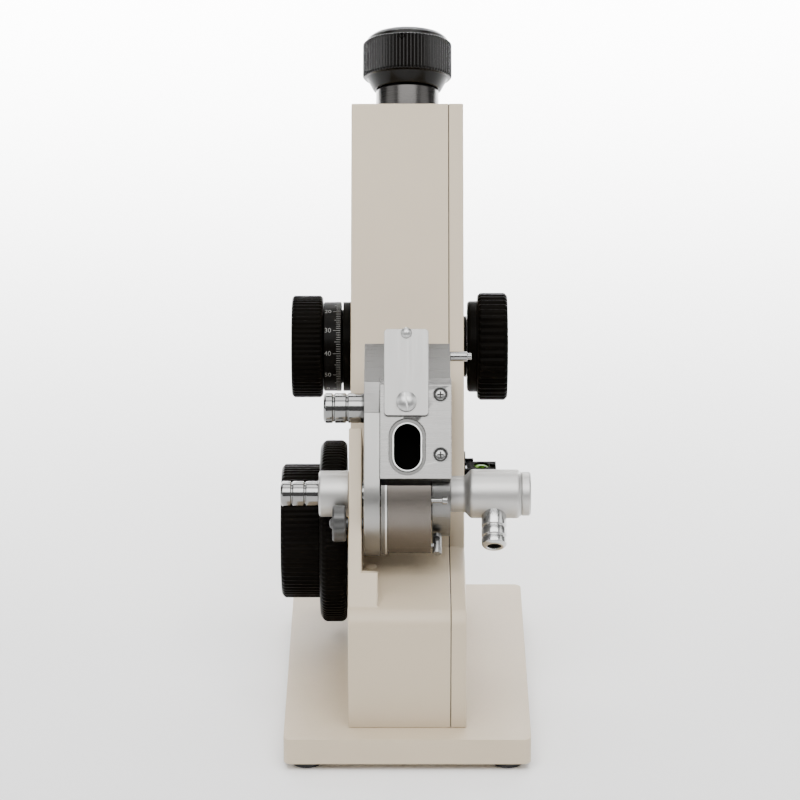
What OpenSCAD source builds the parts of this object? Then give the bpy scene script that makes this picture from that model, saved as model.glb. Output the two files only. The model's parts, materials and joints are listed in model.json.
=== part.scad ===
// Abbe refractometer: bench instrument with an inclined monocular tube.
// Side points are pairs [y, z]: y runs back from the base's front edge, z up from the bench.

/* [Base] */
// Width of the base plate
base_w = 92; // [80:1:110]
// Length of the base plate, front to back
base_l = 149; // [140:1:170]
// Thickness of the base plate
base_t = 10; // [8:0.5:14]
// Corner radius of the base plate
base_corner = 3; // [1:0.5:8]
// Diameter of a rubber foot
foot_d = 12; // [8:0.5:16]
// Height of a rubber foot
foot_h = 3; // [2:0.5:6]
// Distance of a foot's centre from the base's edges
foot_inset = 8.5; // [8:0.5:14]

/* [Column] */
// Width of the column, side cover included
body_w = 44; // [42:0.5:52]
// Thickness of the side cover
cover_t = 5.8; // [4:0.2:8]
// Wall of the main casting
wall = 3.2; // [2.4:0.2:4]
// Setback of the lower box from the base's front edge
box_inset = 10.4; // [6:0.2:14]
// Height of the lower box above the base
box_h = 46; // [44:0.5:52]
// Radius of the lower box's front edge
nose_r = 6; // [3:0.5:8]
// Length of the ledge, box front to tube foot
ledge_l = 65.6; // [64:0.2:72]
// Lean of the tube from the vertical, in degrees
lean = 30; // [26:0.5:34]
// Length of the tube's front face
tube_l = 176; // [172:1:190]
// Depth of the tube, front face to rear face
tube_d = 50; // [49:0.5:56]

/* [Prism unit] */
// Distance of the prism axis from the tube's front face
axis_out = 28; // [27.5:0.1:30]
// Distance of the prism axis up the tube from its foot
axis_up = 16.6; // [16:0.1:20]
// Radius of the hinge shaft
shaft_r = 4.9; // [4:0.1:5.2]
// Distance from the prism axis to the front of the face plate
face_out = 24; // [23.8:0.1:26]
// Radius of the hinge arm's foot and of the drum's rim
rim_r = 23.5; // [22.6:0.1:23.7]
// Height of the face plate's top edge above the prism axis
face_top = 37.6; // [37:0.2:42]
// Height of the window's centre above the prism axis
window_h = 14.1; // [13.6:0.1:15]
// Width of the oval window
window_w = 9.9; // [8:0.1:10.4]
// Length of the oval window
window_l = 17.4; // [14:0.2:18]

/* [Fittings] */
// Radius of the left union
union_r = 8.7; // [7:0.1:9]
// Radius of the lower left nozzle
low_nozzle_r = 4.75; // [4:0.05:5.5]
// Radius of the upper nozzle
top_nozzle_r = 5.65; // [4.5:0.05:5.7]
// Radius of the thermometer barrel
barrel_r = 9.25; // [8.5:0.05:10]
// Radius of the thermometer barrel's neck
neck_r = 6.85; // [6:0.05:7.5]
// Radius of the thermometer hole
thermo_r = 3.25; // [2.5:0.05:3.5]
// Distance of the thermometer nozzle's tip from the prism axis
drop_l = 21.9; // [18:0.1:22]

/* [Knobs and eyepiece] */
// Radius of the big handwheel disc
wheel_r = 35.4; // [30:0.2:36]
// Radius of the small handwheel knob
wheel_knob_r = 26.1; // [20:0.1:27]
// Radius of the left dispersion knob
left_knob_r = 20.1; // [18.2:0.1:22]
// Radius of the dispersion scale ring
ring_r = 17.6; // [16:0.1:18]
// Radius of the right dispersion knob
right_knob_r = 21.2; // [19:0.1:23]
// Gap along the tube between the swing frame's reach and the dispersion cells' mount
knob_gap = 12.3; // [10:0.1:15]
// Radius of the eyepiece ring
eye_r = 17.8; // [16:0.1:19]
// Radius of the telescope tube
scope_r = 10.5; // [10.5:0.1:11.4]

/* [Hidden] */

// Fits shared by the whole instrument
run_fit = 0.07;
seat_gap = 0.3;
over = 1;
fine = 64;
coarse = 16;
left_x = -body_w / 2;
right_x = body_w / 2;
seam_x = right_x - cover_t;
inner_x = left_x + wall;

// Ground levels and the column's outline
base_top = foot_h + base_t;
box_y = box_inset;
ledge_z = base_top + box_h;
foot_y = box_y + ledge_l;
back_y = foot_y + tube_d / cos(lean);
floor_t = 5;
function up(p, s) = [p[0] + s * sin(lean), p[1] + s * cos(lean)];
function into(p, s) = [p[0] + s * cos(lean), p[1] - s * sin(lean)];
tube_foot = [foot_y, ledge_z];
tube_top = into(up(tube_foot, tube_l), tube_d / 2);
axis_p = into(up(tube_foot, axis_up), -axis_out);

// Overall reach, from which the origin under the middle is set
wheel_end_x = -48.8;
gland_end_x = 46.7;
eye_bottom_t = 16.5;
eye_top_t = 31;
eye_edge_t = 30.9;
eye_rear = into(up(tube_top, eye_edge_t), eye_r)[0];
side_shift = -(wheel_end_x + gland_end_x) / 2;

module stand() {
    translate([side_shift, -eye_rear / 2, 0]) children();
}

// Frame of the prism unit: x along its axis, y into the tube, z up the tube
module at_axis() {
    stand() translate([0, axis_p[0], axis_p[1]]) rotate([-lean, 0, 0]) children();
}

// Frame of the optical tube: z runs up the tube from its top face
module at_tube() {
    stand() translate([0, tube_top[0], tube_top[1]]) rotate([-lean, 0, 0]) children();
}

module along_x(p = [0, 0]) {
    translate([0, p[0], p[1]]) rotate([0, 90, 0]) children();
}

// A side outline, drawn as (y, z), extruded from x0 to x1
module slab(x0, x1) {
    translate([x0, 0, 0]) rotate([90, 0, 90]) linear_extrude(x1 - x0) children();
}

// A disc or ring along x
module rod(x0, x1, r, p = [0, 0]) {
    along_x(p) translate([0, 0, x0]) cylinder(h = x1 - x0, r = r, $fn = fine);
}

// A body of revolution about x, from points [radius, x]
module turned(points, p = [0, 0]) {
    along_x(p) rotate_extrude($fn = fine) polygon(points);
}

// Point of the prism unit at radius r, angle a below the front direction
function below(r, a) = [-r * cos(a), -r * sin(a)];

module round_rect(w, l, r) {
    square([w - 2 * r, l], center = true);
    square([w, l - 2 * r], center = true);
    for (i = [-1, 1], j = [-1, 1])
        translate([i * (w / 2 - r), j * (l / 2 - r)]) circle(r = r, $fn = fine);
}

// Round outline with n scallops of radius cut_r, sunk by depth
module fluted(r, n, cut_r, depth) {
    difference() {
        circle(r = r, $fn = fine);
        for (i = [0:n - 1])
            rotate(i * 360 / n) translate([r + cut_r - depth, 0]) circle(r = cut_r, $fn = coarse);
    }
}

// Toothed outline with n square teeth between the root and tip radii
module toothed(root_r, tip_r, n, tooth_w) {
    circle(r = root_r, $fn = fine);
    for (i = [0:n - 1])
        rotate(i * 360 / n) translate([0, -tooth_w / 2]) square([tip_r, tooth_w]);
}

// Slot-shaped outline, upright
module oval(w, l) {
    square([w, l - w], center = true);
    for (j = [-1, 1]) translate([0, j * (l - w) / 2]) circle(d = w, $fn = fine);
}

// Shallow dome on z = 0, cut from a ball of share times its own radius
module dome(r, h, share) {
    rotate_extrude($fn = fine) intersection() {
        translate([0, h - share * r]) circle(r = share * r, $fn = fine);
        square([r, h]);
    }
}

// Hose nozzle along z with grooves at the given shares of its length
module nozzle(l, r, bore_r, grooves, groove_w, groove_d, tip_c) {
    difference() {
        rotate_extrude($fn = fine)
            polygon([[bore_r, 0], [r, 0], [r, l - tip_c], [r - tip_c, l], [bore_r, l]]);
        for (g = grooves)
            translate([0, 0, g * l]) difference() {
                cylinder(h = groove_w, r = r + over, center = true, $fn = fine);
                cylinder(h = groove_w + over, r = r - groove_d, center = true, $fn = fine);
            }
    }
}

// Base plate and its feet
base_screw_r = 1.5;
base_screw_head_r = 3;
base_screw_head_h = 2;
base_screw_l = base_t + floor_t;
base_screw_in = 12;
foot_stem_r = 2.5;
foot_stem_h = 4;
foot_round = 0.8;
foot_spots = [for (i = [-1, 1], y = [foot_inset, base_l - foot_inset])
    [i * (base_w / 2 - foot_inset), y]];
base_screw_spots = [for (i = [-1, 1], y = [box_y + base_screw_in, back_y - base_screw_in])
    [i * (body_w / 2 - base_screw_in), y]];

module base_plate() {
    color([0.78, 0.75, 0.7]) stand() difference() {
        translate([0, base_l / 2, foot_h])
            linear_extrude(base_t) round_rect(base_w, base_l, base_corner);
        for (p = foot_spots)
            translate([p[0], p[1], foot_h - over])
                cylinder(h = foot_stem_h + over, r = foot_stem_r + run_fit, $fn = fine);
        for (p = base_screw_spots) translate([p[0], p[1], foot_h - over]) {
            cylinder(h = base_t + 2 * over, r = base_screw_r + run_fit, $fn = fine);
            cylinder(h = base_screw_head_h + over, r = base_screw_head_r + run_fit, $fn = fine);
        }
    }
}

module rubber_feet() {
    color([0.1, 0.1, 0.1]) stand() for (p = foot_spots) translate([p[0], p[1], 0]) {
        rotate_extrude($fn = fine) polygon([[0, 0], [foot_d / 2 - foot_round, 0],
            [foot_d / 2, foot_round], [foot_d / 2, foot_h], [0, foot_h]]);
        translate([0, 0, foot_h]) cylinder(h = foot_stem_h, r = foot_stem_r, $fn = fine);
    }
}

module base_screws() {
    color([0.5, 0.5, 0.5]) stand() for (p = base_screw_spots)
        translate([p[0], p[1], foot_h]) {
            cylinder(h = base_screw_head_h, r = base_screw_head_r, $fn = fine);
            cylinder(h = base_screw_l, r = base_screw_r, $fn = fine);
        }
}

// Column outline; in is the distance that the outline is drawn in by
module column_outline() {
    polygon([[box_y, base_top], [box_y, ledge_z - nose_r], [box_y + nose_r, ledge_z], tube_foot,
        up(tube_foot, tube_l), into(up(tube_foot, tube_l), tube_d), [back_y, ledge_z],
        [back_y, base_top]]);
    translate([box_y + nose_r, ledge_z - nose_r]) circle(r = nose_r, $fn = fine);
}

module column_inside(in) {
    front_k = in * (1 - sin(lean)) / cos(lean);
    back_k = in * (1 - cos(lean)) / sin(lean);
    head = up(tube_foot, tube_l - in);
    polygon([[box_y + in, base_top + floor_t], [box_y + in, ledge_z - in],
        [foot_y + front_k, ledge_z - in], into(head, in), into(head, tube_d - in),
        [back_y - in, ledge_z + back_k], [back_y - in, base_top + floor_t]]);
}

// Raised cheek on the left that carries the prism axis
cheek_x = -17.1;
lip_x = -11;
cheek_edge = 13.3;
cheek_top = 23;
cheek_toe = 6.6;
lip_rise_share = 0.366;
pocket_wall = 2.3;
cheek_toe_p = [box_y + cheek_toe, ledge_z];
cheek_foot_up = -9.9;

function unit_p(y, z) = into(up(axis_p, z), y);

module cheek_outline() {
    polygon([cheek_toe_p, unit_p(-cheek_edge, cheek_foot_up), unit_p(-cheek_edge, cheek_top),
        unit_p(axis_out + wall / 2, cheek_top), [foot_y + wall / 2, ledge_z - wall / 2],
        [cheek_toe_p[0], ledge_z - wall / 2]]);
}

module lip_outline() {
    edge_p = unit_p(-cheek_edge, cheek_foot_up);
    lip_p = cheek_toe_p + lip_rise_share * (edge_p - cheek_toe_p);
    polygon([cheek_toe_p, lip_p, [lip_p[0] + pocket_wall, lip_p[1]],
        [lip_p[0] + pocket_wall, ledge_z - wall / 2], [cheek_toe_p[0], ledge_z - wall / 2]]);
}

// Places that the shafts need in the column, counted up the tube from the prism axis
beam_up = 12;
arm_r = 20.6;
cell_seat = 18;
mount_t = 4;
knob_down = tube_l - axis_up - beam_up - arm_r - knob_gap - mount_t - cell_seat;
knob_p = up(tube_top, -knob_down);
mirror_p = into(up(axis_p, beam_up), axis_out + tube_d / 2);
pinion_r = 3.3;
sector_r = 16.7;
gear_clear = 0.3;
gear_angle = 45;
wheel_p = [mirror_p[0] - (pinion_r + sector_r) * cos(gear_angle),
    mirror_p[1] - (pinion_r + sector_r) * sin(gear_angle)];
scale_r = 16.8;
scale_angle = 25;
window_p = [mirror_p[0] - scale_r * sin(scale_angle), mirror_p[1] + scale_r * cos(scale_angle)];
bush_r = 5;
spindle_r = 3;
hub_spigot_r = 6;
beam_r = 7;
lock_reach = 16.4;
lock_angle = 51.5;
lock_stem_r = 2;
scope_clear = 0.1;

// Side cover screws: places [share of the side, distance in from the edge]
cover_screw_r = 1.25;
cover_head_r = 2.6;
cover_head_h = 1.6;
cover_screw_l = 14;
boss_r = 3.4;
boss_in = 6.4;
boss_below_knob = 13.1;
mid_boss_up = tube_l - knob_down - boss_below_knob;
cover_spots = [[box_y + boss_in, base_top + floor_t + boss_in - wall],
    [box_y + boss_in + nose_r / 4, ledge_z - boss_in - nose_r / 4],
    [back_y - boss_in, base_top + floor_t + boss_in - wall],
    into(up(tube_foot, tube_l - boss_in), boss_in),
    into(up(tube_foot, tube_l - boss_in), tube_d - boss_in),
    into(up(tube_foot, mid_boss_up), boss_in),
    into(up(tube_foot, mid_boss_up), tube_d - boss_in)];

module housing() {
    color([0.8, 0.77, 0.72]) stand() difference() {
        union() {
            difference() {
                slab(left_x, seam_x) column_outline();
                slab(inner_x, seam_x + over) column_inside(wall);
            }
            slab(left_x, cheek_x) cheek_outline();
            slab(left_x, lip_x) lip_outline();
            for (p = cover_spots) rod(left_x + wall / 2, seam_x, boss_r, p);
        }
        for (p = cover_spots)
            rod(right_x - cover_screw_l - over, seam_x + over, cover_screw_r + run_fit, p);
        rod(left_x - over, cheek_x + over, shaft_r + run_fit, axis_p);
        rod(left_x - over, inner_x + over, bush_r + run_fit, wheel_p);
        rod(left_x - over, inner_x + over, hub_spigot_r + run_fit, knob_p);
        rod(left_x - over, cheek_x + over, lock_stem_r + run_fit,
            unit_p(below(lock_reach, lock_angle)[0], below(lock_reach, lock_angle)[1]));
        translate([0, unit_p(axis_out, beam_up)[0], unit_p(axis_out, beam_up)[1]])
            rotate([-90 - lean, 0, 0])
                cylinder(h = 4 * wall, r = beam_r, center = true, $fn = fine);
        translate([0, tube_top[0], tube_top[1]]) rotate([-lean, 0, 0])
            cylinder(h = 4 * wall, r = scope_r + scope_clear, center = true, $fn = fine);
        for (p = base_screw_spots)
            translate([p[0], p[1], base_top - over])
                cylinder(h = floor_t + 2 * over, r = base_screw_r + run_fit, $fn = fine);
    }
}

cover_lip = 1.6;
lip_fit = 0.25;
lip_wall = 1.6;
light_hole_r = 3;

module side_cover() {
    color([0.8, 0.77, 0.72]) stand() difference() {
        union() {
            slab(seam_x, right_x) column_outline();
            slab(seam_x - cover_lip, seam_x) difference() {
                column_inside(wall + lip_fit);
                column_inside(wall + lip_fit + lip_wall);
                for (p = cover_spots) translate(p) circle(r = boss_r + lip_fit, $fn = fine);
            }
        }
        for (p = cover_spots) {
            rod(seam_x - over, right_x + over, cover_screw_r + run_fit, p);
            turned([[0, right_x - cover_head_h], [cover_screw_r + run_fit, right_x - cover_head_h],
                [cover_head_r + run_fit, right_x], [cover_head_r + run_fit, right_x + over],
                [0, right_x + over]], p);
        }
        rod(seam_x - cover_lip - over, right_x + over, hub_spigot_r + run_fit, knob_p);
        rod(seam_x - cover_lip - over, right_x + over, light_hole_r, window_p);
    }
}

slot_w = 0.7;
slot_deep = 0.8;

module cover_screws() {
    color([0.7, 0.7, 0.7]) stand() for (p = cover_spots) difference() {
        turned([[0, right_x - cover_screw_l], [cover_screw_r, right_x - cover_screw_l],
            [cover_screw_r, right_x - cover_head_h], [cover_head_r, right_x], [0, right_x]], p);
        translate([right_x, p[0], p[1]])
            cube([2 * slot_deep, slot_w, 3 * cover_head_r], center = true);
    }
}

// Prism unit: fixed pieces on its axis
unit_right_x = 16.2;
plate_right_x = 16.5;
union_end_x = -33.4;
union_c = 0.6;
low_nozzle_end_x = -48;
nozzle_bore_r = 2.5;
nozzle_c = 0.9;
groove_w = 0.9;
groove_d = 0.55;
low_groove_shares = [0.36, 0.7];
drop_groove_shares = [0.46, 0.74];
top_groove_shares = [0.42, 0.75];

module hinge_shaft() {
    color([0.75, 0.75, 0.75]) at_axis() rod(left_x, unit_right_x, shaft_r);
}

module left_union() {
    color([0.86, 0.86, 0.84]) at_axis() turned([[0, union_end_x], [union_r - union_c, union_end_x],
        [union_r, union_end_x + union_c], [union_r, left_x], [0, left_x]]);
}

module lower_nozzle() {
    color([0.8, 0.8, 0.8]) at_axis() translate([union_end_x, 0, 0]) rotate([0, -90, 0])
        nozzle(union_end_x - low_nozzle_end_x, low_nozzle_r, nozzle_bore_r,
            low_groove_shares, groove_w, groove_d, nozzle_c);
}

button_r = 2.4;
button_x = -14;
button_front = 4;
button_y = axis_p[0] - button_front;
button_h = 1.3;
dome_share = 1.6;

module stop_button() {
    color([0.8, 0.77, 0.72]) stand() translate([button_x, button_y, ledge_z])
        dome(button_r, button_h, dome_share);
}

arm_left_x = -16.2;
arm_right_x = -10.2;
lock_out_x = -28.1;
lock_in_x = -23;
lock_r = 7.1;
lock_head_r = 2;
lock_head_x = -29.3;
lock_chamfer = 0.5;
lock_face_share = 0.6;
lock_flutes = 36;
lock_flute_r = 0.5;
lock_flute_d = 0.3;

module lock_thumbwheel() {
    p = below(lock_reach, lock_angle);
    color([0.6, 0.6, 0.6]) at_axis() translate([0, p[0], p[1]]) {
        translate([lock_out_x, 0, 0]) rotate([0, 90, 0])
            linear_extrude(lock_in_x - lock_out_x) fluted(lock_r, lock_flutes, lock_flute_r,
                lock_flute_d);
        rod(lock_in_x - over / 2, arm_left_x - seat_gap, lock_stem_r);
        turned([[0, lock_head_x], [lock_head_r * lock_face_share, lock_head_x],
            [lock_head_r, lock_head_x + lock_chamfer], [lock_head_r, lock_out_x + lock_chamfer],
            [0, lock_out_x + lock_chamfer]]);
    }
}

// Refracting seat: the block behind the parting plane, fixed to the tube's face
block_left_x = -7;
block_back = 14;
block_low = -8;
block_mid = 26;
block_top = 50;
ear_left_x = 9.4;
ear_r = 16;
prism_w = 12;
prism_low = 7;
prism_top = 36;
prism_show = 0.12;
glass_deep = 11;
glass_back_top = 17;
light_deep = 12;
light_back_top = 27;
exit_r = 5;

module refracting_glass() {
    slab(-prism_w / 2, prism_w / 2) polygon([[prism_show, prism_low], [prism_show, prism_top],
        [glass_deep, glass_back_top], [glass_deep, prism_low]]);
}

module refracting_seat() {
    color([0.62, 0.61, 0.59]) at_axis() difference() {
        union() {
            slab(block_left_x, unit_right_x) {
                translate([seat_gap, block_low]) square([block_back - seat_gap,
                    block_top - block_low]);
                translate([seat_gap, block_mid]) square([axis_out - seat_gap,
                    block_top - block_mid]);
            }
            rod(ear_left_x, unit_right_x, ear_r);
        }
        rod(block_left_x - over, unit_right_x + over, shaft_r + run_fit);
        refracting_glass();
        translate([0, 0, beam_up]) rotate([-90, 0, 0])
            cylinder(h = axis_out, r = exit_r, $fn = fine);
    }
}

module refracting_prism() {
    color([0.8, 0.9, 0.95, 0.5]) at_axis() refracting_glass();
}

// Thermometer fittings on the right
flare_x = 21.5;
main_x = 23.8;
shoulder_x = 41.6;
gland_x = 43.1;
gland_r = 8.3;
sleeve_r = 6;
sleeve_x = 35;
well_x = 24.6;
drop_x = 32.7;
drop_angle = 45.5;
drop_r = 4.7;
drop_root = 7.6;

module thermometer_barrel() {
    color([0.86, 0.86, 0.83]) at_axis() difference() {
        turned([[0, unit_right_x], [neck_r, unit_right_x], [neck_r, flare_x],
            [barrel_r, main_x], [barrel_r, shoulder_x], [gland_r, gland_x], [0, gland_x]]);
        rod(well_x, gland_x + over, sleeve_r + scope_clear);
        translate([drop_x, 0, 0]) rotate([180 - drop_angle + lean, 0, 0])
            translate([0, 0, drop_root])
                cylinder(h = barrel_r, r = drop_r + scope_clear, $fn = fine);
    }
}

module thermometer_gland() {
    color([0.86, 0.86, 0.83]) at_axis() turned([[thermo_r, sleeve_x], [sleeve_r, sleeve_x],
        [sleeve_r, gland_x], [gland_r, gland_x], [gland_r, gland_end_x - union_c],
        [gland_r - union_c, gland_end_x], [thermo_r, gland_end_x]]);
}

module thermometer_nozzle() {
    color([0.8, 0.8, 0.8]) at_axis() translate([drop_x, 0, 0])
        rotate([180 - drop_angle + lean, 0, 0]) translate([0, 0, drop_root])
            nozzle(drop_l - drop_root, drop_r, nozzle_bore_r, drop_groove_shares, groove_w,
                groove_d, nozzle_c);
}

// Light seat: everything that opens with the upper prism
plate_t = 3;
face_low = 2;
parting = -0.3;
arm_top = 27.1;
strip_out = 22.7;
seat_top = 57;
hub_clear_r = 8.4;
shaft_clear = 0.5;
rim_right_x = -7.6;
face_screw_x = 12.4;
face_screw_high = 33.9;
face_screw_low = 11.1;
face_screw_zs = [face_screw_high, face_screw_low];
face_screw_r = 1.4;
face_head_r = 2.7;
face_head_h = 1.8;
face_screw_l = 8;
cross_w = 0.8;
cross_l = 3.8;
slope = face_top + face_out;

module light_glass() {
    slab(-prism_w / 2, prism_w / 2) polygon([[-prism_show, prism_low],
        [-prism_show, prism_top], [-light_deep, light_back_top], [-light_deep, prism_low]]);
}

// Puts z-up shapes on the face plane: x across, y up the plate, z towards the viewer
module on_face(out) {
    translate([0, -out, 0]) rotate([90, 0, 0]) children();
}

module hinge_arm() {
    color([0.84, 0.85, 0.86]) at_axis() difference() {
        slab(arm_left_x, arm_right_x) {
            circle(r = rim_r, $fn = fine);
            translate([-rim_r, 0]) square([rim_r, arm_top]);
        }
        rod(arm_left_x - over, arm_right_x + over, shaft_r + run_fit);
    }
}

module light_seat() {
    inner_out = face_out - plate_t;
    color([0.66, 0.66, 0.64]) at_axis() difference() {
        union() {
            slab(arm_right_x, unit_right_x) polygon([[-inner_out, face_low],
                [-inner_out, slope - inner_out], [slope - seat_top - 2 * (slope - seat_top),
                seat_top], [parting, seat_top], [parting, face_low]]);
            slab(arm_left_x, arm_right_x) polygon([[-strip_out, arm_top],
                [-strip_out, slope - strip_out], [seat_top - slope, seat_top],
                [parting, seat_top], [parting, arm_top]]);
        }
        rod(arm_right_x - over / 2, rim_right_x + seat_gap, hub_clear_r);
        rod(arm_right_x - over / 2, ear_left_x, shaft_r + shaft_clear);
        rod(ear_left_x - seat_gap, unit_right_x + over, ear_r + shaft_clear);
        light_glass();
        translate([0, 0, window_h]) on_face(light_deep)
            linear_extrude(inner_out) oval(window_w, window_l);
        for (z = face_screw_zs) translate([face_screw_x, 0, z])
            on_face(face_out - face_screw_l - over)
                cylinder(h = face_screw_l, r = face_screw_r + run_fit, $fn = fine);
        translate([shield_x, 0, shield_z]) on_face(face_out - face_screw_l - over)
            cylinder(h = face_screw_l, r = shield_screw_r + run_fit, $fn = fine);
    }
}

recess_w = 13.8;
recess_l = 21.6;
recess_d = 1;
lip_w = 11.4;
lip_l = 18.7;
lip_h = 0.8;

module face_plate() {
    inner_out = face_out - plate_t;
    color([0.86, 0.86, 0.87]) at_axis() difference() {
        slab(arm_right_x, plate_right_x) polygon([[-face_out, face_low],
            [-face_out, face_top], [-inner_out, face_top + plate_t], [-inner_out, face_low]]);
        translate([0, 0, window_h]) on_face(face_out - recess_d)
            linear_extrude(recess_d + over) difference() {
                oval(recess_w, recess_l);
                oval(lip_w, lip_l);
            }
        translate([0, 0, window_h]) on_face(face_out - recess_d + lip_h)
            linear_extrude(recess_d + over) oval(recess_w, recess_l);
        translate([0, 0, window_h]) on_face(inner_out - over)
            linear_extrude(plate_t + 2 * over) oval(window_w, window_l);
        for (z = face_screw_zs) translate([face_screw_x, 0, z]) {
            on_face(inner_out - over)
                cylinder(h = plate_t + 2 * over, r = face_screw_r + run_fit, $fn = fine);
            on_face(face_out - face_head_h)
                cylinder(h = plate_t, r = face_head_r + run_fit, $fn = fine);
        }
        translate([shield_x, 0, shield_z]) on_face(inner_out - over)
            cylinder(h = plate_t + 2 * over, r = shield_screw_r + run_fit, $fn = fine);
    }
}

module face_screws() {
    color([0.75, 0.73, 0.7]) at_axis() for (z = face_screw_zs) translate([face_screw_x, 0, z])
        difference() {
            on_face(face_out - face_screw_l) {
                cylinder(h = face_screw_l - face_head_h, r = face_screw_r, $fn = fine);
                translate([0, 0, face_screw_l - face_head_h])
                    cylinder(h = face_head_h - scope_clear, r = face_head_r, $fn = fine);
            }
            on_face(face_out) {
                cube([cross_l, cross_w, face_head_h], center = true);
                cube([cross_w, cross_l, face_head_h], center = true);
            }
        }
}

module illuminating_prism() {
    color([0.8, 0.9, 0.95, 0.5]) at_axis() light_glass();
}

top_nozzle_end_x = -31.6;
top_nozzle_front = 10;
top_nozzle_up = 31.2;
top_nozzle_p = [-top_nozzle_front, top_nozzle_up];
top_nozzle_bore_r = 3;

module upper_nozzle() {
    color([0.8, 0.8, 0.8]) at_axis() translate([arm_left_x, top_nozzle_p[0], top_nozzle_p[1]])
        rotate([0, -90, 0]) nozzle(arm_left_x - top_nozzle_end_x, top_nozzle_r,
            top_nozzle_bore_r, top_groove_shares, groove_w, groove_d, nozzle_c);
}

pin_end_x = 24.4;
pin_step_x = 22.8;
pin_r = 1.85;
pin_tip_r = 1.25;
pin_front = 5;
pin_up = 52;
pin_p = [-pin_front, pin_up];

module handle_pin() {
    color([0.6, 0.6, 0.6]) at_axis() turned([[0, unit_right_x], [pin_r, unit_right_x],
        [pin_r, pin_step_x], [pin_tip_r, pin_step_x], [pin_tip_r, pin_end_x], [0, pin_end_x]],
        pin_p);
}

// Shield plate that swings over the window
shield_x = -0.35;
shield_z = 31;
shield_w = 16.6;
shield_low = 5.3;
shield_high = 27.6;
shield_t = 1.2;
shield_corner = 1.4;
shield_screw_r = 2;
shield_head_r = 3.8;
shield_head_h = 2.3;
shield_gap = 0.4;
knob_up = 26.1;
knob_r = 2.05;
knob_h = 1.5;
ball_share = 1.3;
slot_angle = 12;
shield_out = face_out + shield_gap;

module shield_plate() {
    color([0.88, 0.88, 0.88]) at_axis() translate([shield_x, 0, shield_z]) difference() {
        on_face(shield_out) linear_extrude(shield_t) difference() {
            translate([0, (shield_high - shield_low) / 2])
                round_rect(shield_w, shield_high + shield_low, shield_corner);
            circle(r = shield_screw_r + run_fit, $fn = fine);
        }
    }
}

module shield_screw() {
    color([0.85, 0.85, 0.85]) at_axis() translate([shield_x, 0, shield_z]) difference() {
        union() {
            on_face(face_out - face_screw_l)
                cylinder(h = face_screw_l + shield_gap + shield_t + run_fit, r = shield_screw_r,
                    $fn = fine);
            on_face(shield_out + shield_t + run_fit) dome(shield_head_r, shield_head_h, dome_share);
        }
        on_face(shield_out + shield_t + shield_head_h) rotate(slot_angle)
            cube([slot_w, 3 * shield_head_r, 2 * slot_deep], center = true);
    }
}

module shield_knob() {
    color([0.85, 0.85, 0.85]) at_axis() translate([shield_x, 0, shield_z + knob_up])
        on_face(shield_out + shield_t) dome(knob_r, knob_h, ball_share);
}

// Reflector: a drum quadrant with a rim that turns on the hinge shaft
rim_left_x = -9.8;
drum_left_x = -7.2;
drum_right_x = 8.9;
drum_r = 23;
drum_wall = 1.7;
drum_from_angle = 1;
drum_to_angle = 85;
drum_hub_r = 8;
neck_drop = 1.2;
mirror_angle = 40;
mirror_t = 1;
mirror_face_r = 19.8;
mirror_l = 13;
pad_l = 5;
pad_w = 8;

// Wedge that keeps only the angles a0 to a1 below the front
module sweep_wedge(a0, a1) {
    big = 2 * rim_r;
    mid = (a0 + a1) / 2;
    polygon([[0, 0], big * below(1, a0), big * below(1, mid), big * below(1, a1)]);
}

module reflector_drum() {
    color([0.6, 0.59, 0.57]) at_axis() difference() {
        union() {
            slab(rim_left_x, rim_right_x) intersection() {
                circle(r = rim_r, $fn = fine);
                sweep_wedge(drum_from_angle, drum_to_angle);
            }
            slab(rim_left_x, rim_right_x) circle(r = drum_hub_r, $fn = fine);
            slab(rim_right_x, drum_left_x) intersection() {
                circle(r = drum_r - neck_drop, $fn = fine);
                sweep_wedge(drum_from_angle, drum_to_angle);
            }
            slab(drum_left_x, drum_right_x) intersection() {
                difference() {
                    circle(r = drum_r, $fn = fine);
                    circle(r = drum_r - drum_wall, $fn = fine);
                }
                sweep_wedge(drum_from_angle, drum_to_angle);
            }
            slab(-pad_w / 2, pad_w / 2) rotate(mirror_angle)
                translate([-drum_r + drum_wall / 2, -pad_l / 2])
                    square([drum_r - drum_wall / 2 - mirror_face_r, pad_l]);
        }
        rod(rim_left_x - over, drum_left_x + over, shaft_r + run_fit);
    }
}

module reflector_mirror() {
    color([0.9, 0.92, 0.95]) at_axis() slab(-mirror_l / 2, mirror_l / 2) rotate(mirror_angle)
        translate([-mirror_face_r, -mirror_l / 2]) square([mirror_t, mirror_l]);
}

tab_r = 0.85;
tab_head_r = 1.4;
tab_head_x = 13.1;
tab_end_x = 15;
tab_angle = 15.2;
tab_reach = 22.1;

module reflector_pin() {
    color([0.8, 0.78, 0.75]) at_axis() turned([[0, drum_right_x], [tab_r, drum_right_x],
        [tab_r, tab_head_x], [tab_head_r, tab_head_x], [tab_head_r, tab_end_x], [0, tab_end_x]],
        below(tab_reach, tab_angle));
}

post_r = 1.66;
post_x = 11.15;
post_angle = 72;
post_in = 17;
post_out = 25.2;
post_hole_r = 1.15;
post_hole_wall = 0.5;
post_hole_in = 19.6;
foot_tab = 1.2;

module reflector_post() {
    color([0.75, 0.74, 0.72]) at_axis() rotate([post_angle - 90, 0, 0]) difference() {
        union() {
            translate([post_x, 0, -post_out])
                cylinder(h = post_out - post_in, r = post_r, $fn = fine);
            translate([drum_right_x, -foot_tab, -drum_r + foot_tab / 4])
                cube([post_x - drum_right_x, 2 * foot_tab, foot_tab]);
        }
        translate([post_x, post_r - post_hole_wall, -post_hole_in]) rotate([90, 0, 0])
            cylinder(h = 3 * post_r, r = post_hole_r, $fn = fine);
    }
}

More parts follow.
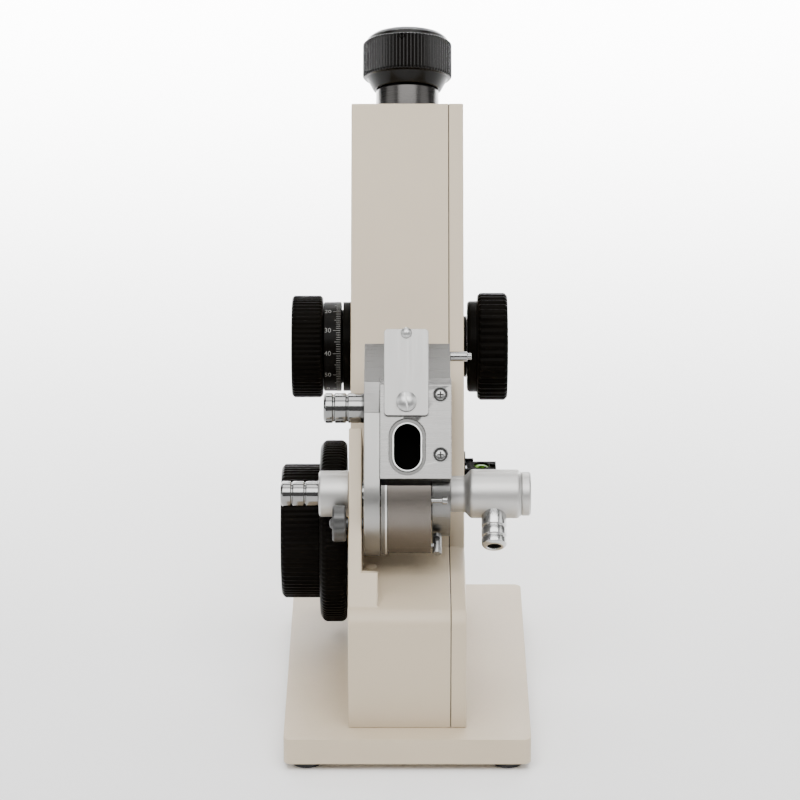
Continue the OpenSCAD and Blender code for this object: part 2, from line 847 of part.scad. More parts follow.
// Dispersion knobs and bevel gears
knob_end_x = -45.4;
knob_in_x = -33.2;
knob_hub_r = 12;
ring_left_x = -32.9;
ring_right_x = -25.9;
collar_x = -25.2;
apex = 14;
gear_in = 9;
gear_gap = 0.25;
spindle_end_x = -40;
left_flutes = 60;
left_flute_r = 0.7;
left_flute_d = 0.4;

module dispersion_knob() {
    color([0.08, 0.08, 0.08]) stand() difference() {
        union() {
            translate([knob_end_x, knob_p[0], knob_p[1]]) rotate([0, 90, 0])
                linear_extrude(knob_in_x - knob_end_x)
                    fluted(left_knob_r, left_flutes, left_flute_r, left_flute_d);
            rod(knob_in_x, ring_right_x, knob_hub_r, knob_p);
        }
        rod(spindle_end_x, ring_right_x + over, spindle_r + run_fit, knob_p);
    }
}

module dispersion_ring() {
    color([0.12, 0.12, 0.12]) stand() difference() {
        rod(ring_left_x, ring_right_x, ring_r, knob_p);
        rod(ring_left_x - over, ring_right_x + over, knob_hub_r + run_fit, knob_p);
    }
}

module index_collar() {
    color([0.1, 0.1, 0.1]) stand() difference() {
        union() {
            rod(collar_x, left_x, ring_r, knob_p);
            rod(left_x, inner_x, hub_spigot_r, knob_p);
        }
        rod(collar_x - over, inner_x + over, spindle_r + run_fit, knob_p);
    }
}

// Bevel wheel about z with its apex at the origin, from gear_in to apex, on a shaft to far
module bevel(far, r) {
    rotate_extrude($fn = fine) polygon([[0, gear_in], [gear_in - gear_gap, gear_in],
        [apex - gear_gap, apex], [0, apex]]);
    translate([0, 0, apex]) cylinder(h = far - apex, r = r, $fn = fine);
}

module left_gear_shaft() {
    color([0.7, 0.6, 0.3]) stand() along_x(knob_p) rotate([180, 0, 0])
        bevel(-spindle_end_x, spindle_r);
}

right_in_x = 27.6;
right_rim_x = 23.6;
right_end_x = 39.4;
right_collar_r = 18;
right_hub_end_x = 23.3;
right_spindle_x = 36;
right_flutes = 43;
right_flute_r = 1.3;
right_flute_d = 0.7;

module right_gear_shaft() {
    color([0.7, 0.6, 0.3]) stand() along_x(knob_p) bevel(right_spindle_x, spindle_r);
}

module right_knob() {
    color([0.08, 0.08, 0.08]) stand() difference() {
        union() {
            translate([right_in_x, knob_p[0], knob_p[1]]) rotate([0, 90, 0])
                linear_extrude(right_end_x - right_in_x)
                    fluted(right_knob_r, right_flutes, right_flute_r, right_flute_d);
            rod(right_rim_x, right_in_x, right_collar_r, knob_p);
        }
        rod(right_rim_x - over, right_spindle_x, spindle_r + run_fit, knob_p);
    }
}

module right_hub() {
    color([0.08, 0.08, 0.08]) stand() difference() {
        union() {
            rod(right_x, right_hub_end_x, knob_hub_r, knob_p);
            rod(seam_x, right_x, hub_spigot_r, knob_p);
        }
        rod(seam_x - over, right_hub_end_x + over, spindle_r + run_fit, knob_p);
    }
}

// Dispersion cells on the optical axis
cell_r = 8;
cell_bore_r = 6.4;
cell_end = 26;
mount_right_x = 14.5;

// Frame of the dispersion axis crossing
module at_cells() {
    at_tube() translate([0, 0, -knob_down]) children();
}

module cell_mount() {
    mount_w = mount_right_x - inner_x;
    mount_d = tube_d - 2 * wall - 2 * seat_gap;
    color([0.3, 0.3, 0.3]) at_cells() for (m = [0, 1]) mirror([0, 0, m]) difference() {
        translate([inner_x, -mount_d / 2, cell_seat]) cube([mount_w, mount_d, mount_t]);
        translate([0, 0, cell_seat - over])
            cylinder(h = mount_t + 2 * over, r = cell_r + run_fit, $fn = fine);
    }
}

module cell() {
    difference() {
        bevel(cell_end, cell_r);
        translate([0, 0, gear_in - over])
            cylinder(h = cell_end, r = cell_bore_r, $fn = fine);
    }
}

module lower_cell() {
    color([0.7, 0.6, 0.3]) at_cells() mirror([0, 0, 1]) cell();
}

module upper_cell() {
    color([0.7, 0.6, 0.3]) at_cells() cell();
}

amici_w = 8.8;

module amici() {
    translate([-amici_w / 2, -amici_w / 2, gear_in + over])
        cube([amici_w, amici_w, cell_end - gear_in - 2 * over]);
}

module lower_amici() {
    color([0.8, 0.9, 0.95, 0.5]) at_cells() mirror([0, 0, 1]) amici();
}

module upper_amici() {
    color([0.8, 0.9, 0.95, 0.5]) at_cells() amici();
}

// Telescope and eyepiece, by heights t above the tube's top face
scope_wall = 1.5;
scope_gap = 4.5;
lens_in = 2;
scope_low_t = cell_end + scope_gap - knob_down;
scope_high_t = 22;
scope_bore_r = scope_r - scope_wall;
lens_t = scope_low_t + lens_in;
lens_h = 4;
reticle_t = -6;
reticle_h = 1.5;
collar_r = 12.5;
collar_top_t = 11.4;
cone_r = 13.5;
cone_top_r = 16.1;
knurl_c = 0.8;
dome_top_t = 35.5;
dome_mid_t = 33.6;
dome_mid_r = 15.2;
dome_top_r = 10.5;
eye_hole_r = 6.5;
barrel_low_t = 6;
barrel_high_t = 27;
barrel_wall = 1.3;
eye_lens_t = 22.5;
eye_lens_h = 3;
flange_t = 2;
flange_over = 2.5;
room_share = 0.8;

module telescope_tube() {
    color([0.15, 0.15, 0.15]) at_tube() {
        rotate_extrude($fn = fine) polygon([[scope_bore_r, scope_low_t], [scope_r, scope_low_t],
            [scope_r, scope_high_t], [scope_bore_r, scope_high_t]]);
        rotate_extrude($fn = fine) polygon([[scope_bore_r + scope_wall / 2, -wall - flange_t],
            [scope_r + flange_over, -wall - flange_t], [scope_r + flange_over, -wall],
            [scope_bore_r + scope_wall / 2, -wall]]);
    }
}

module objective_lens() {
    color([0.8, 0.9, 0.95, 0.5]) at_tube() translate([0, 0, lens_t])
        cylinder(h = lens_h, r = scope_bore_r - run_fit, $fn = fine);
}

module reticle() {
    color([0.8, 0.9, 0.95, 0.5]) at_tube() translate([0, 0, reticle_t])
        cylinder(h = reticle_h, r = scope_bore_r - run_fit, $fn = fine);
}

module eyepiece_collar() {
    color([0.1, 0.1, 0.1]) at_tube() difference() {
        cylinder(h = collar_top_t, r = collar_r, $fn = fine);
        translate([0, 0, -over])
            cylinder(h = collar_top_t + 2 * over, r = scope_r + scope_clear, $fn = fine);
    }
}

module eyepiece_ring() {
    room_r = scope_r - room_share * scope_wall;
    color([0.08, 0.08, 0.08]) at_tube() rotate_extrude($fn = fine)
        polygon([[scope_r + run_fit, collar_top_t + seat_gap], [cone_r, collar_top_t + seat_gap],
            [cone_top_r, eye_bottom_t], [eye_r - knurl_c, eye_bottom_t],
            [eye_r, eye_bottom_t + knurl_c], [eye_r, eye_edge_t], [eye_r - knurl_c,
            eye_top_t], [dome_mid_r, dome_mid_t], [dome_top_r, dome_top_t],
            [eye_hole_r, dome_top_t], [eye_hole_r, eye_top_t], [room_r, eye_top_t],
            [room_r, scope_high_t + seat_gap], [scope_r + run_fit, scope_high_t + seat_gap]]);
}

module eyepiece_barrel() {
    out_r = scope_bore_r - run_fit;
    color([0.15, 0.15, 0.15]) at_tube() rotate_extrude($fn = fine)
        polygon([[out_r - barrel_wall, barrel_low_t], [out_r, barrel_low_t],
            [out_r, barrel_high_t], [out_r - barrel_wall, barrel_high_t]]);
}

module eye_lens() {
    color([0.8, 0.9, 0.95, 0.5]) at_tube() translate([0, 0, eye_lens_t])
        cylinder(h = eye_lens_h, r = scope_bore_r - run_fit - barrel_wall, $fn = fine);
}

// Handwheel with its pinion, and the swing frame that it turns
wheel_in_x = -23.4;
wheel_mid_x = -33.7;
wheel_c = 2.2;
wheel_shaft_x = -42;
wheel_flutes = 60;
wheel_flute_r = 0.9;
wheel_flute_d = 0.5;
pinion_teeth = 12;
sector_teeth = 60;
side_teeth = 5;
tooth_w = 0.7;
pinion_left_x = -17.6;
pinion_right_x = -14.4;
bush_head_x = -23.1;
bush_head_r = 8;

module handwheel_disc() {
    color([0.1, 0.1, 0.1]) stand() difference() {
        turned([[0, wheel_mid_x], [wheel_r - wheel_c, wheel_mid_x],
            [wheel_r, wheel_mid_x + wheel_c], [wheel_r, wheel_in_x - wheel_c / 2],
            [wheel_r - wheel_c / 2, wheel_in_x], [0, wheel_in_x]], wheel_p);
        rod(wheel_mid_x - over, wheel_in_x + over, spindle_r + run_fit, wheel_p);
    }
}

module handwheel_knob() {
    color([0.08, 0.08, 0.08]) stand() difference() {
        translate([wheel_end_x, wheel_p[0], wheel_p[1]]) rotate([0, 90, 0])
            linear_extrude(wheel_mid_x - wheel_end_x)
                fluted(wheel_knob_r, wheel_flutes, wheel_flute_r, wheel_flute_d);
        rod(wheel_shaft_x, wheel_mid_x + over, spindle_r + run_fit, wheel_p);
    }
}

module handwheel_shaft() {
    color([0.7, 0.7, 0.7]) stand() {
        rod(wheel_shaft_x, pinion_left_x, spindle_r, wheel_p);
        translate([pinion_left_x, wheel_p[0], wheel_p[1]]) rotate([0, 90, 0])
            linear_extrude(pinion_right_x - pinion_left_x)
                toothed(pinion_r - 2 * gear_clear, pinion_r - gear_clear / 2, pinion_teeth,
                    tooth_w);
    }
}

module shaft_bush() {
    color([0.7, 0.6, 0.3]) stand() difference() {
        union() {
            rod(bush_head_x, left_x, bush_head_r, wheel_p);
            rod(left_x, inner_x, bush_r, wheel_p);
        }
        rod(bush_head_x - over, inner_x + over, spindle_r + run_fit, wheel_p);
    }
}

swing_pin_r = 2.5;
swing_hub_r = 4.5;
swing_left_x = -18;
sector_left_x = -17.2;
sector_right_x = -14.8;
sector_half_angle = 34;
table_left_x = -9.5;
table_right_x = 8.5;
mirror_half = 12;
glass_t = 1.5;
table_t = 2;
table_angle = 45 - lean;
disc_t = 1.5;
pane_edge_angle = 2;
arm_x = 10;
frame_in_r = 12;
pane_in_r = 13.6;
pane_out_r = 19.6;
pane_half_angle = 36;
frame_half_angle = 42;
scale_t = 1.2;
swing_pin_x = -9.6;

module swing_pivot() {
    color([0.7, 0.7, 0.7]) stand() rod(inner_x, swing_pin_x, swing_pin_r, mirror_p);
}

// Frame at the swing axis, z up
module at_swing() {
    stand() translate([0, mirror_p[0], mirror_p[1]]) children();
}

// Pie slice of the side view between two angles, counted from the front level upwards
module slice(r, a0, a1) {
    intersection() {
        circle(r = r, $fn = fine);
        polygon([[0, 0], 3 * r * [-cos(a0), sin(a0)], 3 * r * [-cos((a0 + a1) / 2),
            sin((a0 + a1) / 2)], 3 * r * [-cos(a1), sin(a1)]]);
    }
}

module swing_frame() {
    scale_mid_angle = 90 - scale_angle;
    root_r = sector_r - 2 * gear_clear;
    color([0.5, 0.5, 0.5]) at_swing() difference() {
        union() {
            rod(swing_left_x, table_left_x + over, swing_hub_r);
            slab(sector_left_x, sector_right_x)
                slice(root_r, -gear_angle - sector_half_angle, -gear_angle + sector_half_angle);
            slab(sector_left_x, sector_right_x) for (i = [-side_teeth:side_teeth])
                rotate(gear_angle + i * 360 / sector_teeth)
                    translate([gear_clear / 2 - sector_r, -tooth_w / 2])
                        square([4 * gear_clear, tooth_w]);
            slab(table_left_x, table_right_x) rotate(table_angle)
                translate([-mirror_half, -glass_t - table_t]) square([2 * mirror_half, table_t]);
            rod(table_left_x, table_left_x + disc_t, frame_in_r);
            slab(table_right_x - glass_t, arm_x) difference() {
                union() {
                    circle(r = frame_in_r, $fn = fine);
                    slice(arm_r, scale_mid_angle - frame_half_angle, scale_mid_angle + frame_half_angle);
                }
                difference() {
                    slice(pane_out_r - over / 2, scale_mid_angle - pane_half_angle
                        + pane_edge_angle, scale_mid_angle + pane_half_angle - pane_edge_angle);
                    circle(r = pane_in_r + over / 2, $fn = fine);
                }
            }
        }
        rod(swing_left_x - over, swing_pin_x + run_fit, swing_pin_r + run_fit);
        slab(table_left_x - over, table_right_x - glass_t) rotate(table_angle)
            translate([-2 * mirror_half, -glass_t]) square([4 * mirror_half, 2 * mirror_half]);
    }
}

module swing_mirror() {
    color([0.9, 0.92, 0.95]) at_swing()
        slab(table_left_x + seat_gap, table_right_x - glass_t - seat_gap) rotate(table_angle)
            translate([-mirror_half, -glass_t]) square([2 * mirror_half, glass_t]);
}

module scale_plate() {
    scale_mid_angle = 90 - scale_angle;
    color([0.8, 0.9, 0.95, 0.5]) at_swing() slab(arm_x, arm_x + scale_t) difference() {
        slice(pane_out_r, scale_mid_angle - pane_half_angle, scale_mid_angle + pane_half_angle);
        circle(r = pane_in_r, $fn = fine);
    }
}

// Flap with a green lens that lights the scale through the cover
flap_drop = 5.5;
flap_z = window_p[1] - flap_drop;
flap_left_x = 23.1;
flap_right_x = 34.6;
flap_w = 8.6;
flap_t = 1.5;
flap_lens_x = 28.9;
flap_lens_r = 3.1;
flap_pin_r = 0.8;
bracket_t = 0.7;
bracket_h = 8.4;
bracket_w = 12.6;
ear_t = 1.4;
flap_knob_r = 1.1;
flap_knob_h = 0.8;
pin_out = 2.2;
pin_wall = 1.6;
flap_knob_share = 1.2;
pin_x = right_x + pin_out;

module condenser_bracket() {
    ear_reach = pin_out + pin_wall;
    color([0.1, 0.1, 0.1]) stand() translate([right_x, window_p[0], flap_z]) difference() {
        union() {
            translate([0, -bracket_w / 2, -bracket_h / 2]) cube([bracket_t, bracket_w, bracket_h]);
            for (j = [-1, 1])
                translate([0, j * (bracket_w - ear_t) / 2 - ear_t / 2, -ear_t])
                    cube([ear_reach, ear_t, 2 * ear_t]);
        }
        translate([pin_x - right_x, 0, 0]) rotate([90, 0, 0])
            cylinder(h = 2 * bracket_w, r = flap_pin_r + run_fit, center = true, $fn = fine);
        translate([-over, 0, window_p[1] - flap_z]) rotate([0, 90, 0])
            cylinder(h = 2 * over + bracket_t, r = light_hole_r + over / 2, $fn = fine);
    }
}

module condenser_frame() {
    color([0.08, 0.08, 0.08]) stand() translate([0, window_p[0], flap_z]) difference() {
        union() {
            translate([flap_left_x, -flap_w / 2, -flap_t / 2])
                cube([flap_right_x - flap_left_x, flap_w, flap_t]);
            translate([pin_x, 0, 0]) rotate([90, 0, 0])
                cylinder(h = bracket_w, r = flap_pin_r, center = true, $fn = fine);
            translate([flap_right_x - flap_knob_share * flap_knob_r, 0, flap_t / 2])
                cylinder(h = flap_knob_h, r = flap_knob_r, $fn = fine);
        }
        translate([flap_lens_x, 0, 0])
            cylinder(h = 2 * flap_t, r = flap_lens_r, center = true, $fn = fine);
    }
}

module condenser_lens() {
    color([0.35, 0.6, 0.2, 0.7]) stand() translate([flap_lens_x, window_p[0], flap_z])
        cylinder(h = flap_t - 2 * scope_clear, r = flap_lens_r, center = true, $fn = fine);
}

base_plate();
rubber_feet();
base_screws();
housing();
side_cover();
cover_screws();
hinge_shaft();
left_union();
lower_nozzle();
stop_button();
lock_thumbwheel();
refracting_seat();
refracting_prism();
thermometer_barrel();
thermometer_gland();
thermometer_nozzle();
hinge_arm();
light_seat();
face_plate();
face_screws();
illuminating_prism();
upper_nozzle();
handle_pin();
shield_plate();
shield_screw();
shield_knob();
reflector_drum();
reflector_mirror();
reflector_pin();
reflector_post();
dispersion_knob();
dispersion_ring();
index_collar();
left_gear_shaft();
right_gear_shaft();
right_knob();
right_hub();
cell_mount();
lower_cell();
upper_cell();
lower_amici();
upper_amici();
telescope_tube();
objective_lens();
reticle();
eyepiece_collar();
eyepiece_ring();
eyepiece_barrel();
eye_lens();
handwheel_disc();
handwheel_knob();
handwheel_shaft();
shaft_bush();
swing_pivot();
swing_frame();
swing_mirror();
scale_plate();
condenser_bracket();
condenser_frame();
condenser_lens();
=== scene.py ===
import json
import math

import bmesh
import bpy
import numpy as np
from bpy.props import FloatProperty, FloatVectorProperty, IntProperty, PointerProperty
from mathutils import Matrix, Vector

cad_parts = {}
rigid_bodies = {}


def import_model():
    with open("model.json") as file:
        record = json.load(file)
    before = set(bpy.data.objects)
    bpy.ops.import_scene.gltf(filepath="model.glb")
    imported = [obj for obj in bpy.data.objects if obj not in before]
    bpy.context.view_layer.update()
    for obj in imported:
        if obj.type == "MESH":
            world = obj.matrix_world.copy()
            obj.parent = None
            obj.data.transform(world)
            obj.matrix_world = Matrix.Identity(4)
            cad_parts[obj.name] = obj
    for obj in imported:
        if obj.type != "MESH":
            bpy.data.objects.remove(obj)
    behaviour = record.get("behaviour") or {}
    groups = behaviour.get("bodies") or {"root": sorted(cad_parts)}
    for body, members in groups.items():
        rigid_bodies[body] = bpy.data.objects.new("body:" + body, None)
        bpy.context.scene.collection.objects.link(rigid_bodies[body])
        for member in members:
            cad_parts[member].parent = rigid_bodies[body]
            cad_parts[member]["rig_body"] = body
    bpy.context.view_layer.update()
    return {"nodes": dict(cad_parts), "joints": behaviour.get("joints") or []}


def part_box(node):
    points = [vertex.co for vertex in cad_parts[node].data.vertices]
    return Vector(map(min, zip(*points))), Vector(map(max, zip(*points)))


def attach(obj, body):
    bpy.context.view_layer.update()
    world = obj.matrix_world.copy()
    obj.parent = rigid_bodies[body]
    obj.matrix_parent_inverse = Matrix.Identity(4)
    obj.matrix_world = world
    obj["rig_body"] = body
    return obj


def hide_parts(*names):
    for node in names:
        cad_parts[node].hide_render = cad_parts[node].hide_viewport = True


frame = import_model()

bl_info = {
    "name": "Abbe refractometer",
    "version": (1, 0, 0),
    "blender": (4, 5, 0),
    "location": "View3D > Sidebar > Refractometer",
    "description": "Finishes and fine parts of a bench refractometer, built on its solids",
    "category": "Object",
}

MM = 0.001
TURN = 2 * math.pi
QUARTER_X = Matrix.Rotation(TURN / 4, 4, "X")
QUARTER_Y = Matrix.Rotation(TURN / 4, 4, "Y")
JOINTS = {joint["name"]: joint for joint in frame["joints"]}
WORLD_UP = Vector((0, 0, 1))


# Places read from the frame

def span(node):
    """Lowest and highest corner of a solid, in millimetres."""
    low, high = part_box(node)
    return low / MM, high / MM


def joint_frame(joint, along=0.0):
    """Matrix whose Z is the joint's axis and whose X is square to it, in millimetres."""
    axis = Vector(JOINTS[joint]["axis"]).normalized()
    side = WORLD_UP.cross(axis).normalized()
    third = axis.cross(side)
    place = Matrix((side, third, axis)).transposed().to_4x4()
    place.translation = Vector(JOINTS[joint]["pos_m"]) / MM + axis * along
    return place


def middle_x():
    """The base's middle plane, in millimetres."""
    low, high = span("base_plate")
    return (low.x + high.x) / 2


def ends(node):
    """Left and right end of a solid, in millimetres from the middle plane."""
    low, high = span(node)
    return low.x - middle_x(), high.x - middle_x()


def x_frame(joint):
    """Frame with Z along +X through a joint's centre; its zero is the body's middle plane."""
    place = QUARTER_Y.copy()
    centre = Vector(JOINTS[joint]["pos_m"]) / MM
    place.translation = Vector((middle_x(), centre.y, centre.z))
    return place


def unit_frame():
    """Frame of the prism unit: X across, Y into the tube, Z up the tube."""
    centre = Vector(JOINTS["light_open"]["pos_m"]) / MM
    up = Vector(JOINTS["eyepiece_turn"]["axis"]).normalized()
    across = Vector((1, 0, 0))
    place = Matrix((across, up.cross(across), up)).transposed().to_4x4()
    place.translation = Vector((middle_x(), centre.y, centre.z))
    return place


# Sizes and colours that a user would change

class EnamelSettings(bpy.types.PropertyGroup):
    """Painted castings."""
    colour: FloatVectorProperty(name="Enamel", description="Colour of the painted castings",
        subtype="COLOR", min=0, max=1, default=(0.53, 0.44, 0.318))
    edge: FloatProperty(name="Edge radius", description="Rounding of the castings' edges, mm",
        default=0.9, min=0.1, max=2)
    seam: FloatProperty(name="Seam radius", description="Rounding beside the cover's seam, mm",
        default=0.5, min=0.05, max=1)


class MetalSettings(bpy.types.PropertyGroup):
    """Plated and turned metal parts."""
    satin: FloatVectorProperty(name="Satin chrome", description="Colour of the plated castings",
        subtype="COLOR", min=0, max=1, default=(0.22, 0.217, 0.21))
    bright: FloatVectorProperty(name="Bright chrome", description="Colour of polished fittings",
        subtype="COLOR", min=0, max=1, default=(0.30, 0.30, 0.295))
    edge: FloatProperty(name="Edge radius", description="Rounding of the metal edges, mm",
        default=0.3, min=0.05, max=1)


class KnobSettings(bpy.types.PropertyGroup):
    """Black knobs, rings and the handwheel."""
    colour: FloatVectorProperty(name="Black", description="Colour of the black mouldings",
        subtype="COLOR", min=0, max=1, default=(0.0022, 0.0018, 0.0013))
    ink: FloatVectorProperty(name="Scale ink", description="Colour of scale lines and numbers",
        subtype="COLOR", min=0, max=1, default=(0.22, 0.22, 0.205))
    left_ribs: IntProperty(name="Left knob ribs", description="Ribs round the left knob",
        default=60, min=20, max=120)
    right_ribs: IntProperty(name="Right knob ribs", description="Scallops round the right knob",
        default=43, min=20, max=90)
    wheel_ribs: IntProperty(name="Wheel ribs", description="Ribs round the small wheel knob",
        default=72, min=20, max=120)
    disc_ribs: IntProperty(name="Disc ribs", description="Fine ribs round the handwheel disc",
        default=110, min=40, max=200)


class EyepieceSettings(bpy.types.PropertyGroup):
    """Milled eyepiece ring."""
    ribs: IntProperty(name="Milled ribs", description="Fine ribs round the eyepiece ring",
        default=76, min=30, max=160)
    rib_depth: FloatProperty(name="Rib depth", description="Depth of the milled ribs, mm",
        default=0.6, min=0.05, max=1)


class StageSettings(bpy.types.PropertyGroup):
    """Camera, floor and lights."""
    distance: FloatProperty(name="Distance", description="Camera to the axis target, m",
        default=1.5128, min=0.3, max=5, unit="LENGTH")
    pitch: FloatProperty(name="Pitch", description="How far the camera looks down",
        default=math.radians(20), min=0, max=1.5, subtype="ANGLE")
    lens: FloatProperty(name="Lens", description="Focal length, mm", default=172.7, min=20,
        max=400)
    light: FloatProperty(name="Light", description="Strength of the studio lights",
        default=1.0, min=0, max=10)


# Surfaces worked out with numpy

def grid_faces(rows, cols, wrap_rows=False, wrap_cols=False):
    """Quads of a grid of points: (i, j), (i, j+1), (i+1, j+1), (i+1, j), wrapped if asked."""
    i, j = np.meshgrid(np.arange(rows if wrap_rows else rows - 1),
        np.arange(cols if wrap_cols else cols - 1), indexing="ij")
    down, on = (i + 1) % rows, (j + 1) % cols
    quads = np.stack([i * cols + j, i * cols + on, down * cols + on, down * cols + j], axis=-1)
    return quads.reshape(-1, 4)


def eased(points, radius, closed=False, steps=4):
    """Polyline with each corner C cut by a curve: (1-t)^2 A + 2t(1-t) C + t^2 B, where A and B
    lie radius away from C, or 45 percent along a shorter side."""
    points = np.asarray(points, float)
    before, after = np.roll(points, 1, axis=0), np.roll(points, -1, axis=0)
    reach_in = np.linalg.norm(before - points, axis=1, keepdims=True)
    reach_out = np.linalg.norm(after - points, axis=1, keepdims=True)
    start = points + (before - points) * np.minimum(radius / reach_in, 0.45)
    end = points + (after - points) * np.minimum(radius / reach_out, 0.45)
    t = np.linspace(0, 1, steps + 1)[None, :, None]
    curve = ((1 - t) ** 2 * start[:, None] + 2 * t * (1 - t) * points[:, None]
        + t ** 2 * end[:, None])
    if closed:
        return curve.reshape(-1, 2)
    return np.vstack([points[:1], curve[1:-1].reshape(-1, 2), points[-1:]])


def no_ribs(angle, axial, radius):
    """Cut of a plain turned piece: none."""
    return np.zeros_like(angle + axial + radius)


def ribs(count, depth, low, high, inner, fade=0.5, power=1.0):
    """Ribs between two axial stations: depth * (0.5 - 0.5 cos(count * angle)) ** power, eased
    in over the fade length and only outside the inner radius."""
    def cut(angle, axial, radius):
        ends = np.clip((axial - low) / fade, 0, 1) * np.clip((high - axial) / fade, 0, 1)
        outside = np.clip((radius - inner) / fade, 0, 1)
        return depth * (0.5 - 0.5 * np.cos(count * angle)) ** power * ends * outside
    return cut


def lathe(profile, place, sides, closed=False, cut=no_ribs):
    """Surface of revolution: point (s, a) = (r cos a, r sin a, z), where (z, r) runs along the
    profile and r is lessened by the cut at that place."""
    profile = np.asarray(profile, float)
    angle = np.arange(sides) * TURN / sides
    axial, radius = profile[:, :1], profile[:, 1:]
    depth = cut(angle[None, :], axial, radius)
    reach = np.maximum(radius - depth, 0)
    points = np.stack([reach * np.cos(angle), reach * np.sin(angle),
        np.broadcast_to(axial, reach.shape)], axis=-1).reshape(-1, 3)
    faces = grid_faces(len(profile), sides, wrap_rows=closed, wrap_cols=True)
    return moved(points, place), faces


def moved(points, place):
    """Points carried from a piece's own frame into the object's, still in millimetres."""
    turn = np.array(place.to_3x3())
    return points @ turn.T + np.array(place.translation)


def joined(*parts):
    """Several (points, faces) surfaces as one list of points and one of faces."""
    points, faces, first = [], [], 0
    for some_points, some_faces in parts:
        points.append(some_points)
        faces.extend([corner + first for corner in face] for face in some_faces)
        first += len(some_points)
    return np.vstack(points), faces


def block(low, high, place):
    """Box between two corners of a frame."""
    low, high = np.asarray(low, float), np.asarray(high, float)
    corner = np.array([[x, y, z] for x in (0, 1) for y in (0, 1) for z in (0, 1)], float)
    faces = [[0, 1, 3, 2], [4, 6, 7, 5], [0, 4, 5, 1], [2, 3, 7, 6], [0, 2, 6, 4], [1, 5, 7, 3]]
    return moved(low + corner * (high - low), place), faces


# Meshes, bodies and materials

# Points closer than this are one, in metres: on a solid, and on a surface made here
SOLID_WELD, OWN_WELD = 2e-6, 1e-7
# Faces that turn less than this are one; edges sharper than the others are kept sharp, the
# first on a solid and the second on a surface made here
FLAT_ANGLE = math.radians(0.6)
EDGE_ANGLE = math.radians(32)
SHARP_ANGLE = math.radians(35)


def finish_mesh(mesh, sharp_angle):
    """Smooth shading, with edges past an angle kept sharp."""
    mesh.polygons.foreach_set("use_smooth", np.ones(len(mesh.polygons), bool))
    mesh.set_sharp_from_angle(angle=sharp_angle)
    mesh.update()


def add_piece(name, surface, node, material, replaces=False):
    """Object from (points, faces) in millimetres. It rides on a solid's body, and stands for the
    solid where replaces is true."""
    points, faces = surface
    faces = faces.tolist() if isinstance(faces, np.ndarray) else faces
    mesh = bpy.data.meshes.new(name)
    mesh.from_pydata((np.asarray(points) * MM).tolist(), [], faces)
    work = bmesh.new()
    work.from_mesh(mesh)
    bmesh.ops.remove_doubles(work, verts=work.verts, dist=OWN_WELD)
    bmesh.ops.recalc_face_normals(work, faces=work.faces)
    work.to_mesh(mesh)
    work.free()
    finish_mesh(mesh, SHARP_ANGLE)
    mesh.materials.append(material)
    piece = bpy.data.objects.new(name, mesh)
    bpy.context.scene.collection.objects.link(piece)
    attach(piece, body_of(node))
    if replaces:
        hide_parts(node)


def add_turned(node, profile, place, material, sides, closed=False, cut=no_ribs):
    """Turned piece that stands for a solid."""
    add_piece(node + "_turned", lathe(profile, place, sides, closed, cut), node, material, True)


def body_of(node):
    """Name of the body that a solid rides on."""
    return frame["nodes"][node]["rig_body"]


def weigh_edges(work, spared):
    """Bevel weight 1 on each sharp edge, and 0 where both its ends lie in the spared box
    (low corner, high corner)."""
    low, high = (corner * MM for corner in spared)
    weight = work.edges.layers.float.new("bevel_weight_edge")
    for edge in work.edges:
        inside = all(all(low[i] < end.co[i] < high[i] for i in range(3)) for end in edge.verts)
        sharp = edge.calc_face_angle(0.0) > EDGE_ANGLE
        edge[weight] = float(sharp and not inside)


def softened(node, radius, material, steps=3, spared=None):
    """Copy of a solid with merged faces and its sharp edges rounded; it stands for the solid.
    With a spared box the edges are rounded in full, and none inside the box is."""
    mesh = frame["nodes"][node].data.copy()
    mesh.name = node + "_finish"
    work = bmesh.new()
    work.from_mesh(mesh)
    bmesh.ops.remove_doubles(work, verts=work.verts, dist=SOLID_WELD)
    bmesh.ops.dissolve_limit(work, angle_limit=FLAT_ANGLE, verts=work.verts, edges=work.edges)
    if spared:
        weigh_edges(work, spared)
    work.to_mesh(mesh)
    work.free()
    mesh.materials.clear()
    mesh.materials.append(material)
    finish_mesh(mesh, EDGE_ANGLE)
    piece = bpy.data.objects.new(mesh.name, mesh)
    bpy.context.scene.collection.objects.link(piece)
    bevel = piece.modifiers.new("edge", "BEVEL")
    bevel.width = radius * MM
    bevel.segments = steps
    bevel.limit_method = "WEIGHT" if spared else "ANGLE"
    bevel.angle_limit = EDGE_ANGLE
    bevel.harden_normals = True
    bevel.use_clamp_overlap = not spared
    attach(piece, body_of(node))
    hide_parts(node)


def dress(node, material):
    """Gives a solid that is shown as it is its material."""
    mesh = frame["nodes"][node].data
    mesh.materials.clear()
    mesh.materials.append(material)


# Shader groups: each puts out masks and heights that change over the surface

def new_group(name, inputs, outputs):
    """Node group with float or vector inputs {name: default} and float outputs."""
    tree = bpy.data.node_groups.new(name, "ShaderNodeTree")
    for label, value in inputs.items():
        kind = "NodeSocketVector" if isinstance(value, tuple) else "NodeSocketFloat"
        socket = tree.interface.new_socket(label, in_out="INPUT", socket_type=kind)
        socket.default_value = value
    for label in outputs:
        tree.interface.new_socket(label, in_out="OUTPUT", socket_type="NodeSocketFloat")
    return tree, tree.nodes.new("NodeGroupInput"), tree.nodes.new("NodeGroupOutput")


def add_node(tree, kind, values=None, **settings):
    """Adds a node; values fill its inputs, by name or number, with numbers or links."""
    made = tree.nodes.new("ShaderNode" + kind)
    for label, value in settings.items():
        setattr(made, label, value)
    for label, value in (values or {}).items():
        if isinstance(value, bpy.types.NodeSocket):
            tree.links.new(value, made.inputs[label])
        else:
            made.inputs[label].default_value = value
    return made


